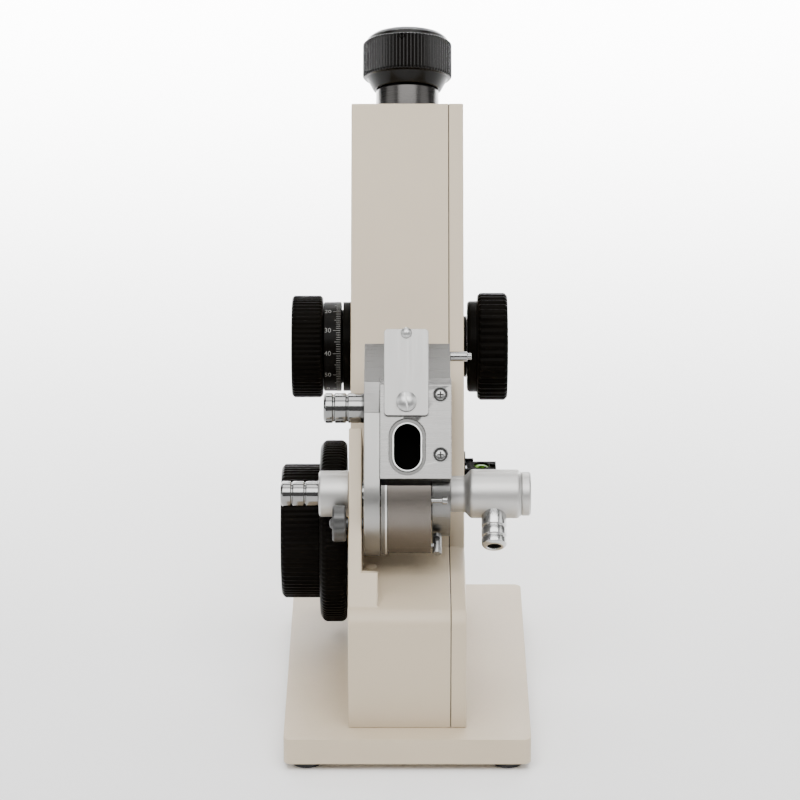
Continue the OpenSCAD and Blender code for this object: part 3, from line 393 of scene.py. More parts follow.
def noise(tree, vector, scale, detail=3.0, roughness=0.55):
    return add_node(tree, "TexNoise", {"Vector": vector, "Scale": scale, "Detail": detail,
        "Roughness": roughness}).outputs["Fac"]


def ranged(tree, value, low, high, out_low=0.0, out_high=1.0):
    return add_node(tree, "MapRange", {"Value": value, "From Min": low, "From Max": high,
        "To Min": out_low, "To Max": out_high}).outputs["Result"]


def maths(tree, operation, first, second=0.0):
    return add_node(tree, "Math", {0: first, 1: second}, operation=operation).outputs[0]


def paint_grain_group():
    """Orange peel and slow tone drift of sprayed enamel."""
    tree, inputs, outputs = new_group("Paint grain", {"Vector": (0.0, 0.0, 0.0),
        "Peel scale": 900.0, "Drift scale": 18.0}, ("Peel", "Drift"))
    peel = noise(tree, inputs.outputs["Vector"], inputs.outputs["Peel scale"], 2.0)
    drift = noise(tree, inputs.outputs["Vector"], inputs.outputs["Drift scale"], 4.0)
    tree.links.new(peel, outputs.inputs["Peel"])
    tree.links.new(ranged(tree, drift, *NOISE_SPAN), outputs.inputs["Drift"])
    return tree


def turned_lines_group():
    """Fine lathe lines: noise along the axis and outwards, in a frame whose axis is Z."""
    tree, inputs, outputs = new_group("Turned lines", {"Vector": (0.0, 0.0, 0.0)},
        ("Lines", "Smear"))
    parts = add_node(tree, "SeparateXYZ", {0: inputs.outputs["Vector"]})
    flat = add_node(tree, "CombineXYZ", {"X": parts.outputs["X"], "Y": parts.outputs["Y"]})
    radius = add_node(tree, "VectorMath", {0: flat.outputs[0]}, operation="LENGTH")
    along = maths(tree, "ADD", radius.outputs["Value"], parts.outputs["Z"])
    line = add_node(tree, "TexNoise", {"W": along, "Scale": LATHE_LINES,
        "Detail": 3.0}, noise_dimensions="1D").outputs["Fac"]
    smear = noise(tree, inputs.outputs["Vector"], 90.0)
    tree.links.new(line, outputs.inputs["Lines"])
    tree.links.new(smear, outputs.inputs["Smear"])
    return tree


def brushed_lines_group():
    """Straight brushing: noise stretched along the frame's X."""
    tree, inputs, outputs = new_group("Brushed lines", {"Vector": (0.0, 0.0, 0.0),
        "Stretch": (60.0, 4200.0, 4200.0)}, ("Lines", "Smear"))
    stretched = add_node(tree, "VectorMath", {0: inputs.outputs["Vector"],
        1: inputs.outputs["Stretch"]}, operation="MULTIPLY")
    tree.links.new(noise(tree, stretched.outputs[0], 1.0), outputs.inputs["Lines"])
    tree.links.new(noise(tree, inputs.outputs["Vector"], 70.0), outputs.inputs["Smear"])
    return tree


def settled_dust_group():
    """Dust on upward faces: up-facing share times a soft noise."""
    tree, inputs, outputs = new_group("Settled dust", {"Vector": (0.0, 0.0, 0.0),
        "Amount": 0.3}, ("Mask",))
    facing = add_node(tree, "NewGeometry").outputs["Normal"]
    height = add_node(tree, "SeparateXYZ", {0: facing}).outputs["Z"]
    upward = ranged(tree, height, 0.35, 1.0)
    patch = ranged(tree, noise(tree, inputs.outputs["Vector"], 160.0, 5.0), 0.35, 0.75)
    mask = maths(tree, "MULTIPLY", maths(tree, "MULTIPLY", upward, patch),
        inputs.outputs["Amount"])
    tree.links.new(mask, outputs.inputs["Mask"])
    return tree


GROUPS = {}
MATERIALS = {}
# Where the noise of a mask mostly lies
NOISE_SPAN = (0.3, 0.7)
# The cover's seam: half width and soft edge in millimetres, and the colour of the painted shade
# in its gap
SEAM_HALF, SEAM_SOFT = 0.13, 0.1
SEAM_SHADE = (0.012, 0.009, 0.006)
BLACK_DUST = (0.20, 0.19, 0.18)
TURNED_BUMP = 0.004
BRUSHED_BUMP = 0.003
# Lathe lines per metre, and the stretch of brushing across a piece and up it
LATHE_LINES = 9000.0
BRUSHED_ACROSS = (60.0, 4200.0, 4200.0)
BRUSHED_UP = (4200.0, 4200.0, 60.0)


def place_group(tree, name, builder, values):
    """Places a shader group, which its builder makes the first time."""
    if name not in GROUPS:
        GROUPS[name] = builder()
    return add_node(tree, "Group", values, node_tree=GROUPS[name])


def start_material(name, metallic=0.0, **plain):
    """Material with its shader and Object coordinates; plain values go on the shader."""
    material = bpy.data.materials.new(name)
    material.use_nodes = True
    tree = material.node_tree
    shader = tree.nodes["Principled BSDF"]
    shader.inputs["Metallic"].default_value = metallic
    for label, value in plain.items():
        shader.inputs[label.replace("_", " ")].default_value = value
    coords = tree.nodes.new("ShaderNodeTexCoord").outputs["Object"]
    MATERIALS[name] = material
    return tree, shader, coords


def blended(tree, mask, low, high):
    """Colour between two colours, or a link and a colour, by a mask."""
    low = low if isinstance(low, bpy.types.NodeSocket) else (*low, 1)
    return add_node(tree, "Mix", {"Factor": mask, "A": low, "B": (*high, 1)},
        data_type="RGBA").outputs["Result"]


def set_tone(tree, shader, mask, low, high):
    """Base colour between two colours by a mask."""
    tree.links.new(blended(tree, mask, low, high), shader.inputs["Base Color"])


def set_rough(tree, shader, mask, low, high, span=NOISE_SPAN):
    """Roughness from low to high as a mask crosses its span."""
    tree.links.new(ranged(tree, mask, *span, low, high), shader.inputs["Roughness"])


def set_bump(tree, shader, height, distance):
    """Bump whose height is a mask times a distance in millimetres."""
    bump = add_node(tree, "Bump", {"Height": height, "Distance": distance * MM})
    tree.links.new(bump.outputs["Normal"], shader.inputs["Normal"])


def shade(colour, factor):
    return tuple(min(1.0, channel * factor) for channel in colour)


def centred(tree, coords, place):
    """Object coordinates seen from a frame, so that lathe lines run round its Z axis."""
    back = place.inverted()
    turn = back.to_euler("XYZ")
    move = back.translation * MM
    return add_node(tree, "Mapping", {"Vector": coords, "Location": move,
        "Rotation": turn}).outputs["Vector"]


def stripe(tree, coords, middle, half, soft):
    """Mask that is 1 within half of the plane x = middle and fades to 0 over soft, in mm."""
    across = add_node(tree, "SeparateXYZ", {0: coords}).outputs["X"]
    away = maths(tree, "ABSOLUTE", maths(tree, "SUBTRACT", across, middle * MM))
    return ranged(tree, away, half * MM, (half + soft) * MM, 1.0, 0.0)


def made_once(build):
    """Keeps each material by its name, so that a second call gives the first one back."""
    def kept(name, *values, **named):
        if name not in MATERIALS:
            build(name, *values, **named)
        return MATERIALS[name]
    return kept


@made_once
def enamel(name, seam=None):
    """Sprayed enamel on a casting: fine orange peel, slow drift of tone, a little dust. A seam
    is the plane x = seam, where a dark line down the joint's gap is painted shade."""
    colour = tuple(bpy.context.scene.refractometer_enamel.colour)
    tree, shader, coords = start_material(name, Coat_Weight=0.12, Coat_Roughness=0.3)
    grain = place_group(tree, "Paint grain", paint_grain_group, {"Vector": coords})
    mix = blended(tree, grain.outputs["Drift"], shade(colour, 0.975), shade(colour, 1.02))
    dust = place_group(tree, "Settled dust", settled_dust_group, {"Vector": coords,
        "Amount": 0.10})
    dust_and_seam_shade = blended(tree, dust.outputs["Mask"], mix, shade(colour, 1.18))
    if seam is not None:
        # Painted shade: a dark line along the seam's gap
        line = stripe(tree, coords, seam, SEAM_HALF, SEAM_SOFT)
        dust_and_seam_shade = blended(tree, line, dust_and_seam_shade, SEAM_SHADE)
    tree.links.new(dust_and_seam_shade, shader.inputs["Base Color"])
    set_rough(tree, shader, grain.outputs["Peel"], 0.40, 0.52)
    set_bump(tree, shader, grain.outputs["Peel"], 0.012)


@made_once
def turned_metal(name, place, colour, rough=(0.12, 0.24)):
    """Turned metal: lathe lines round one axis, with uneven polish."""
    tree, shader, coords = start_material(name, metallic=1.0)
    lines = place_group(tree, "Turned lines", turned_lines_group,
        {"Vector": centred(tree, coords, place)})
    set_tone(tree, shader, lines.outputs["Smear"], shade(colour, 0.93), shade(colour, 1.05))
    set_rough(tree, shader, lines.outputs["Lines"], *rough)
    set_bump(tree, shader, lines.outputs["Lines"], TURNED_BUMP)


@made_once
def brushed_metal(name, place, colour, rough=(0.22, 0.34), stretch=BRUSHED_ACROSS):
    """Satin plated metal with brushing along one direction of a frame."""
    tree, shader, coords = start_material(name, metallic=1.0)
    lines = place_group(tree, "Brushed lines", brushed_lines_group,
        {"Vector": centred(tree, coords, place), "Stretch": stretch})
    set_tone(tree, shader, lines.outputs["Smear"], shade(colour, 0.94), shade(colour, 1.04))
    set_rough(tree, shader, lines.outputs["Lines"], *rough)
    set_bump(tree, shader, lines.outputs["Lines"], BRUSHED_BUMP)


@made_once
def black_moulding(name, rough, tone=1.0, gloss=0.05):
    """Black moulding: faint mould grain, smears of polish and a trace of dust."""
    colour = shade(bpy.context.scene.refractometer_knobs.colour, tone)
    tree, shader, coords = start_material(name, Specular_IOR_Level=gloss)
    grain = place_group(tree, "Paint grain", paint_grain_group, {"Vector": coords,
        "Peel scale": 1500.0, "Drift scale": 60.0})
    mix = blended(tree, grain.outputs["Drift"], shade(colour, 0.75), shade(colour, 1.5))
    dust = place_group(tree, "Settled dust", settled_dust_group, {"Vector": coords,
        "Amount": 0.006})
    set_tone(tree, shader, dust.outputs["Mask"], mix, BLACK_DUST)
    set_rough(tree, shader, grain.outputs["Drift"], *rough, (0.0, 1.0))
    set_bump(tree, shader, grain.outputs["Peel"], 0.006)


@made_once
def rubber(name):
    """Moulded rubber: matt, slightly dusty."""
    tree, shader, coords = start_material(name)
    grain = place_group(tree, "Paint grain", paint_grain_group, {"Vector": coords,
        "Peel scale": 1200.0, "Drift scale": 120.0})
    set_tone(tree, shader, grain.outputs["Drift"], (0.008, 0.008, 0.008),
        (0.028, 0.027, 0.026))
    set_rough(tree, shader, grain.outputs["Peel"], 0.6, 0.8)
    set_bump(tree, shader, grain.outputs["Peel"], 0.02)


@made_once
def scale_ink(name):
    """Printed lines and numbers, a little uneven."""
    colour = tuple(bpy.context.scene.refractometer_knobs.ink)
    tree, shader, coords = start_material(name)
    grain = place_group(tree, "Paint grain", paint_grain_group, {"Vector": coords,
        "Peel scale": 3000.0, "Drift scale": 500.0})
    set_tone(tree, shader, grain.outputs["Drift"], shade(colour, 0.5), shade(colour, 0.75))
    set_rough(tree, shader, grain.outputs["Peel"], 0.45, 0.6)


@made_once
def optical_glass(name, colour=(0.93, 0.97, 0.98), rough=0.0):
    """Polished or finely ground glass."""
    tree, shader, coords = start_material(name, Transmission_Weight=1.0, IOR=1.62)
    drift = noise(tree, coords, 60.0)
    set_tone(tree, shader, drift, shade(colour, 0.98), colour)
    set_rough(tree, shader, drift, rough, rough + 0.02)


@made_once
def silvered(name):
    """Front-silvered mirror with a faint haze."""
    tree, shader, coords = start_material(name, metallic=1.0)
    haze = noise(tree, coords, 120.0)
    set_tone(tree, shader, haze, (0.86, 0.87, 0.88), (0.93, 0.94, 0.94))
    set_rough(tree, shader, haze, 0.01, 0.06, (0.4, 0.7))


# Frames that several pieces share, in millimetres

PRISM_AXIS = x_frame("light_open")
WHEEL_AXIS = x_frame("handwheel_turn")
KNOB_AXIS = x_frame("dispersion_turn")
UNIT = unit_frame()
# Middle of the light window in the prism unit's frame
WINDOW = (0.0, 0.0, 14.1)
# Frame at the tube's top, 24 mm down the tube from the eyepiece's joint
TUBE_TOP = joint_frame("eyepiece_turn", along=-24.0)
# Box round the step of the left cheek, whose top is too narrow to be rounded
CHEEK_STEP = (Vector((-21.5, -83.0, 68.0)), Vector((-9.5, -78.5, 69.5)))
# How far the side cover's lip reaches into the column, to the left of the seam
COVER_LIP = 1.6
# Rounding of the edges of small pieces
BUTTON_EDGE, FINE_EDGE, SMALL_EDGE, SHEET_EDGE, PIN_EDGE = 0.1, 0.12, 0.2, 0.22, 0.25
BRASS = (0.72, 0.52, 0.24)


def pointing(origin, direction):
    """Frame at a world point whose Z axis points in a direction."""
    turn = Vector(direction).normalized().to_track_quat("Z", "Y")
    return Matrix.Translation(origin) @ turn.to_matrix().to_4x4()


def satin(name, place, tone=1.0, **values):
    """Satin plate, from the user's colour and a tone."""
    colour = shade(bpy.context.scene.refractometer_metal.satin, tone)
    return brushed_metal(name, place, colour, **values)


def bright(name, place, tone=1.0, **values):
    """Polished turned metal, from the user's colour and a tone."""
    colour = shade(bpy.context.scene.refractometer_metal.bright, tone)
    return turned_metal(name, place, colour, **values)


def knob_black():
    """Black of the dispersion knobs, their collar and the small flap."""
    return black_moulding("knob_black", (0.3, 0.45), gloss=0.015)


# Stage, in metres: the point that the camera looks at (y, z), and its sideways shift
LOOKED_AT = (0.02012, 0.10029)
CAMERA_SHIFT = -0.0091
# Floor, in millimetres: half its width, where it starts, where it curves up and how high, and
# the lowest and highest line of the wall above the curve
FLOOR_HALF, FLOOR_START, FLOOR_BEND, FLOOR_RISE = 3000.0, -4000.0, 1500.0, 900.0
WALL_LOW, WALL_HIGH = 300.0, 2500.0
FLOOR_TONES = ((0.95, 0.95, 0.95), (0.96, 0.96, 0.96))
FLOOR_ROUGHNESS = 0.9
# Studio lights: name, place, width, height, radiance, aim, and spread in degrees
OBJECT_SPOT = (0.0, 0.0, 0.12)
LIGHTS = (
    ("front", (0.0, -1.9, 2.7), 4.0, 2.0, 6.0, OBJECT_SPOT, 180.0),
    ("left", (-2.4, -0.6, 1.2), 1.6, 1.6, 2.2, OBJECT_SPOT, 180.0),
    ("right", (2.4, -0.6, 1.2), 1.6, 1.6, 2.2, OBJECT_SPOT, 180.0),
    ("top", (0.0, 0.3, 2.8), 2.4, 1.6, 3.4, OBJECT_SPOT, 180.0),
    ("back", (0.0, 1.3, 0.8), 3.2, 1.2, 15.0, (0.0, 1.3, 0.0), 114.0),
)
ROOM_LIGHT = 0.22


class REFRACTOMETER_OT_stage(bpy.types.Operator):
    """Add the camera, the pale floor and the soft studio lights"""
    bl_idname = "refractometer.stage"
    bl_label = "Stage"

    def execute(self, context):
        self.add_camera(context)
        self.add_floor(context)
        self.add_lights(context)
        return {"FINISHED"}

    def add_camera(self, context):
        settings = context.scene.refractometer_stage
        data = bpy.data.cameras.new("camera")
        data.lens = settings.lens
        data.sensor_width = 36.0
        data.shift_x = CAMERA_SHIFT
        camera = bpy.data.objects.new("camera", data)
        camera.rotation_euler = (math.pi / 2 - settings.pitch, 0, 0)
        away = Vector((0, -math.cos(settings.pitch), math.sin(settings.pitch)))
        camera.location = Vector((middle_x() * MM, *LOOKED_AT)) + away * settings.distance
        context.scene.collection.objects.link(camera)
        context.scene.camera = camera

    def add_floor(self, context):
        """Sheet z = 0 near the object, rising behind it as a quarter circle."""
        bend = np.linspace(0, math.pi / 2, 17)[1:]
        level = np.linspace(FLOOR_START, FLOOR_BEND, 12)
        wall = FLOOR_RISE + np.linspace(WALL_LOW, WALL_HIGH, 4)
        run = np.concatenate([level, FLOOR_BEND + FLOOR_RISE * np.sin(bend),
            np.full(len(wall), FLOOR_BEND + FLOOR_RISE)])
        lift = np.concatenate([np.zeros(len(level)), FLOOR_RISE - FLOOR_RISE * np.cos(bend),
            wall])
        points = np.stack(np.broadcast_arrays(np.array([-FLOOR_HALF, FLOOR_HALF]),
            run[:, None], lift[:, None]), axis=-1).reshape(-1, 3)
        tree, shader, coords = start_material("floor_paper")
        set_tone(tree, shader, noise(tree, coords, 3.0), *FLOOR_TONES)
        shader.inputs["Roughness"].default_value = FLOOR_ROUGHNESS
        mesh = bpy.data.meshes.new("floor")
        mesh.from_pydata((points * MM).tolist(), [], grid_faces(len(run), 2).tolist())
        finish_mesh(mesh, SHARP_ANGLE)
        mesh.materials.append(MATERIALS["floor_paper"])
        floor = bpy.data.objects.new("floor", mesh)
        context.scene.collection.objects.link(floor)

    def add_lights(self, context):
        power = context.scene.refractometer_stage.light
        for name, place, width, height, radiance, target, spread in LIGHTS:
            data = bpy.data.lights.new(name, "AREA")
            data.shape = "RECTANGLE"
            data.size = width
            data.size_y = height
            data.energy = math.pi * width * height * radiance * power
            data.spread = math.radians(spread)
            lamp = bpy.data.objects.new(name, data)
            lamp.location = place
            aim = Vector(target) - Vector(place)
            lamp.rotation_euler = aim.to_track_quat("-Z", "Y").to_euler()
            context.scene.collection.objects.link(lamp)
        world = bpy.data.worlds.new("studio")
        world.use_nodes = True
        back = world.node_tree.nodes["Background"]
        back.inputs["Color"].default_value = (1, 1, 1, 1)
        back.inputs["Strength"].default_value = ROOM_LIGHT * power
        context.scene.world = world


class REFRACTOMETER_OT_castings(bpy.types.Operator):
    """Finish the painted column, cover and base, with their screws and feet"""
    bl_idname = "refractometer.castings"
    bl_label = "Castings"

    def execute(self, context):
        settings = context.scene.refractometer_enamel
        cream = enamel("cream_enamel")
        softened("base_plate", settings.edge, cream)
        column = enamel("column_enamel", seam=span("side_cover")[0].x + COVER_LIP)
        softened("housing", settings.seam, column, spared=CHEEK_STEP)
        softened("side_cover", settings.seam, column, spared=CHEEK_STEP)
        softened("stop_button", BUTTON_EDGE, cream, steps=2)
        self.add_feet()
        steel = satin("screw_steel", PRISM_AXIS, 0.8, rough=(0.2, 0.35))
        softened("cover_screws", FINE_EDGE, steel, steps=2)
        dress("base_screws", steel)
        return {"FINISHED"}

    def add_feet(self):
        """Rubber feet: turned discs with a rounded tread and a moulded step."""
        radius, height, tread, rim, step = 6.0, 3.0, 0.5, 0.7, 0.35
        profile = eased([(0.0, 0.0), (0.0, radius - tread), (tread, radius),
            (height - rim, radius), (height - rim, radius - step), (height, radius - step),
            (height, 0.0)], 0.3)
        low, high = span("rubber_feet")
        feet = [lathe(profile, Matrix.Translation((x, y, 0)), 64)
            for x in (low.x + radius, high.x - radius)
            for y in (low.y + radius, high.y - radius)]
        add_piece("feet_tread", joined(*feet), "rubber_feet", rubber("foot_rubber"), True)


def window_skin(sections, closed=True):
    """Skin round the light window through slots (width, length, out): half circles of diameter
    width, their centres length - width apart, out towards the viewer from the unit's axis."""
    angle = np.linspace(0, math.pi, 25)
    points = []
    for width, length, out in sections:
        x, z = width / 2 * np.cos(angle), width / 2 * np.sin(angle) + (length - width) / 2
        points.append(np.stack([np.r_[x, -x], np.full(2 * len(x), -out), np.r_[z, -z]], axis=-1))
    count = len(points[0])
    faces = grid_faces(len(sections), count, closed, True).tolist()
    if not closed:
        faces.append(list(range((len(sections) - 1) * count, len(sections) * count)))
    return moved(np.vstack(points) + np.array(WINDOW), UNIT), faces


class REFRACTOMETER_OT_prism_unit(bpy.types.Operator):
    """Finish the hinged prism unit: seats, face plate, shield, drum and prisms"""
    bl_idname = "refractometer.prism_unit"
    bl_label = "Prism unit"
    # Screws of the face plate: how far right, how far out, and how far up the unit
    screw_right, screw_out, screws_up = 12.4, 24.0, (33.9, 11.1)
    # Drum, tinted brown all over as a painted reflection of the cream ledge: its paler rim and
    # the bright edge at the rim's right, from the middle plane, are painted highlights
    rim_middle, rim_half, edge_middle, edge_half, band_soft = -8.7, 1.1, -7.95, 0.3, 0.1
    brown, brown_share = (0.17, 0.135, 0.105), 0.45
    rim_colour, edge_colour = (0.2, 0.195, 0.185), (0.75, 0.74, 0.72)

    def execute(self, context):
        edge = context.scene.refractometer_metal.edge
        casting = satin("satin_casting", UNIT, 0.9, rough=(0.26, 0.38))
        soft_steel = bright("bright_screw", UNIT, 1.6, rough=(0.3, 0.42))
        pin = bright("bright_pin", PRISM_AXIS)
        softened("hinge_arm", edge, satin("satin_arm", UNIT, 1.55, rough=(0.3, 0.42),
            stretch=BRUSHED_UP))
        softened("light_seat", edge, casting)
        softened("face_plate", edge, satin("satin_plate", UNIT, 1.1))
        softened("refracting_seat", edge, casting)
        softened("shield_plate", SHEET_EDGE, satin("satin_sheet", UNIT, 1.45,
            rough=(0.28, 0.4), stretch=BRUSHED_UP))
        softened("reflector_drum", SMALL_EDGE, self.drum_metal())
        self.add_face_screws()
        softened("shield_screw", SMALL_EDGE, soft_steel)
        softened("shield_knob", FINE_EDGE, soft_steel, steps=2)
        softened("handle_pin", PIN_EDGE, pin)
        softened("reflector_pin", SMALL_EDGE, pin)
        self.add_reflector_post()
        self.add_window_liner()
        dress("hinge_shaft", pin)
        # Painted shade: the ground glass tinted dark so that the light window looks dark inside
        dress("illuminating_prism", optical_glass("ground_glass", (0.10, 0.10, 0.11), 0.4))
        dress("refracting_prism", optical_glass("optical_glass"))
        dress("reflector_mirror", silvered("silvered_glass"))
        return {"FINISHED"}

    def add_reflector_post(self):
        """Round post below the drum with a foot on the drum and a dark cross hole in front."""
        lean, right, bottom, top, radius = math.radians(-18), 11.15, -25.2, -17.0, 1.66
        place = UNIT @ Matrix.Rotation(lean, 4, "X")
        axis = place @ Matrix.Translation((right, 0, 0))
        post = lathe(eased([(bottom, 0.0), (bottom, radius), (top, radius), (top, 0.0)], 0.3),
            axis, 64)
        foot_low, foot_high, foot_half = -22.7, -21.5, 1.2
        foot = block((ends("reflector_drum")[1], -foot_half, foot_low),
            (right, foot_half, foot_high), place)
        add_piece("reflector_post_turned", joined(post, foot), "reflector_post",
            bright("post_steel", PRISM_AXIS, 0.75, rough=(0.25, 0.36)), True)
        hole_up, hole_radius, hole_floor, hole_mouth = -19.6, 1.0, 0.6, radius + 0.08
        hole = axis @ Matrix.Translation((0, 0, hole_up)) @ QUARTER_X
        cup = eased([(hole_floor, 0.0), (hole_floor, hole_radius), (hole_mouth, hole_radius),
            (hole_mouth, 0.0)], 0.03)
        add_piece("reflector_post_hole", lathe(cup, hole, 32), "reflector_post",
            satin("satin_shadow", UNIT, 0.12))

    def drum_metal(self):
        """Satin drum, brown as a painted reflection of the ledge; paler rim and bright edge as
        painted highlights.
        """
        material = satin("satin_drum", UNIT, 0.74, rough=(0.34, 0.46))
        tree = material.node_tree
        shader = tree.nodes["Principled BSDF"]
        coords = tree.nodes.new("ShaderNodeTexCoord").outputs["Object"]
        plated = shader.inputs["Base Color"].links[0].from_socket
        # Painted reflection: the whole drum tinted towards the cream ledge's brown
        colour = blended(tree, self.brown_share, plated, self.brown)
        # Painted highlight: the rim lighter than the drum
        rim = stripe(tree, coords, middle_x() + self.rim_middle, self.rim_half, self.band_soft)
        colour = blended(tree, rim, colour, self.rim_colour)
        # Painted highlight: a bright band along the edge at the rim's right
        edge = stripe(tree, coords, middle_x() + self.edge_middle, self.edge_half,
            self.band_soft)
        set_tone(tree, shader, edge, colour, self.edge_colour)
        return material

    def add_face_screws(self):
        """Cross-head screws in counterbores: a bright rim, a dark ring and a low domed head.
        Each outline is (out of the plate's face, radius)."""
        head = eased([(-1.6, 0.0), (-1.6, 1.9), (-0.35, 2.0), (-0.1, 1.7), (0.02, 1.0),
            (0.06, 0.0)], 0.2)
        ring = [(-1.0, 1.9), (-1.0, 2.72), (-0.55, 2.72), (-0.55, 1.9)]
        rim = eased([(-0.6, 2.6), (-0.6, 3.0), (0.0, 3.0), (0.06, 2.85), (0.0, 2.65)], 0.05,
            closed=True)
        slot_reach, slot_half, slot_floor, slot_top = 1.25, 0.28, -0.4, 0.09
        arms = ((slot_reach, slot_half), (slot_half, slot_reach))
        heads, rings, rims, slots = [], [], [], []
        for up in self.screws_up:
            place = UNIT @ Matrix.Translation((self.screw_right, -self.screw_out, up)) @ QUARTER_X
            heads.append(lathe(head, place, 48))
            rings.append(lathe(ring, place, 48, True))
            rims.append(lathe(rim, place, 64, True))
            slots += [block((-x, -y, slot_floor), (x, y, slot_top), place) for x, y in arms]
        steel = bright("face_screw_steel", UNIT, 0.9, rough=(0.2, 0.32))
        # Painted shade: the dark ring in the counterbore and the floors of the cross slots
        black = satin("satin_shadow", UNIT, 0.12)
        add_piece("face_screw_heads", joined(*heads), "face_screws", steel, True)
        add_piece("face_screw_rims", joined(*rims), "face_screws", steel)
        add_piece("face_screw_shadows", joined(*rings), "face_screws", black)
        add_piece("face_screw_slots", joined(*slots), "face_screws", black)

    def add_window_liner(self):
        """Black cup in the light window and a darker recess as painted shade; the lip round its
        mouth brightened as painted highlight.
        """
        mouth, lip, recess, floor, face = (9.9, 17.4), (11.3, 18.6), (13.7, 21.5), 22.9, 23.3
        cup = ((9.86, 17.36, floor), (9.7, 17.2, floor), (9.6, 17.1, 12.2))
        # Painted shade: a black cup where the window's inside lies in shade
        add_piece("window_cup", window_skin(cup, False), "face_plate",
            black_moulding("window_painted_shade", (0.6, 0.8), 0.3, gloss=0.02))
        sheet = ((*recess, floor), (*recess, 23.04), (*lip, 23.04), (*lip, floor))
        # Painted shade: the recess floor darker than the plate's metal
        add_piece("window_recess", window_skin(sheet), "face_plate",
            satin("satin_recess", UNIT, 0.5))
        ring = ((*mouth, face), (*lip, face), (*lip, 23.75), (10.9, 18.3, 23.95),
            (10.3, 17.75, 23.95), (*mouth, 23.7))
        # Painted highlight: the lip far brighter than the plate's metal
        add_piece("window_lip", window_skin(ring), "face_plate",
            bright("bright_lip", UNIT, 2.8, rough=(0.3, 0.4)))


def nozzle_profile(length, radius, bore, grooves, depth=0.55, width=1.0):
    """Closed outline of a hose nozzle from its root at 0: grooves lie at shares of its length,
    and the tip is rounded."""
    outline = [(0.0, bore), (0.0, radius)]
    for share in grooves:
        middle = share * length
        outline += [(middle - 0.5 * width, radius), (middle - 0.25 * width, radius - depth),
            (middle + 0.25 * width, radius - depth), (middle + 0.5 * width, radius)]
    outline += [(length - 0.9, radius), (length - 0.1, radius - 0.8),
        (length, radius - 1.2), (length, bore + 0.3), (length - 0.4, bore)]
    return eased(outline, 0.22, closed=True, steps=3)


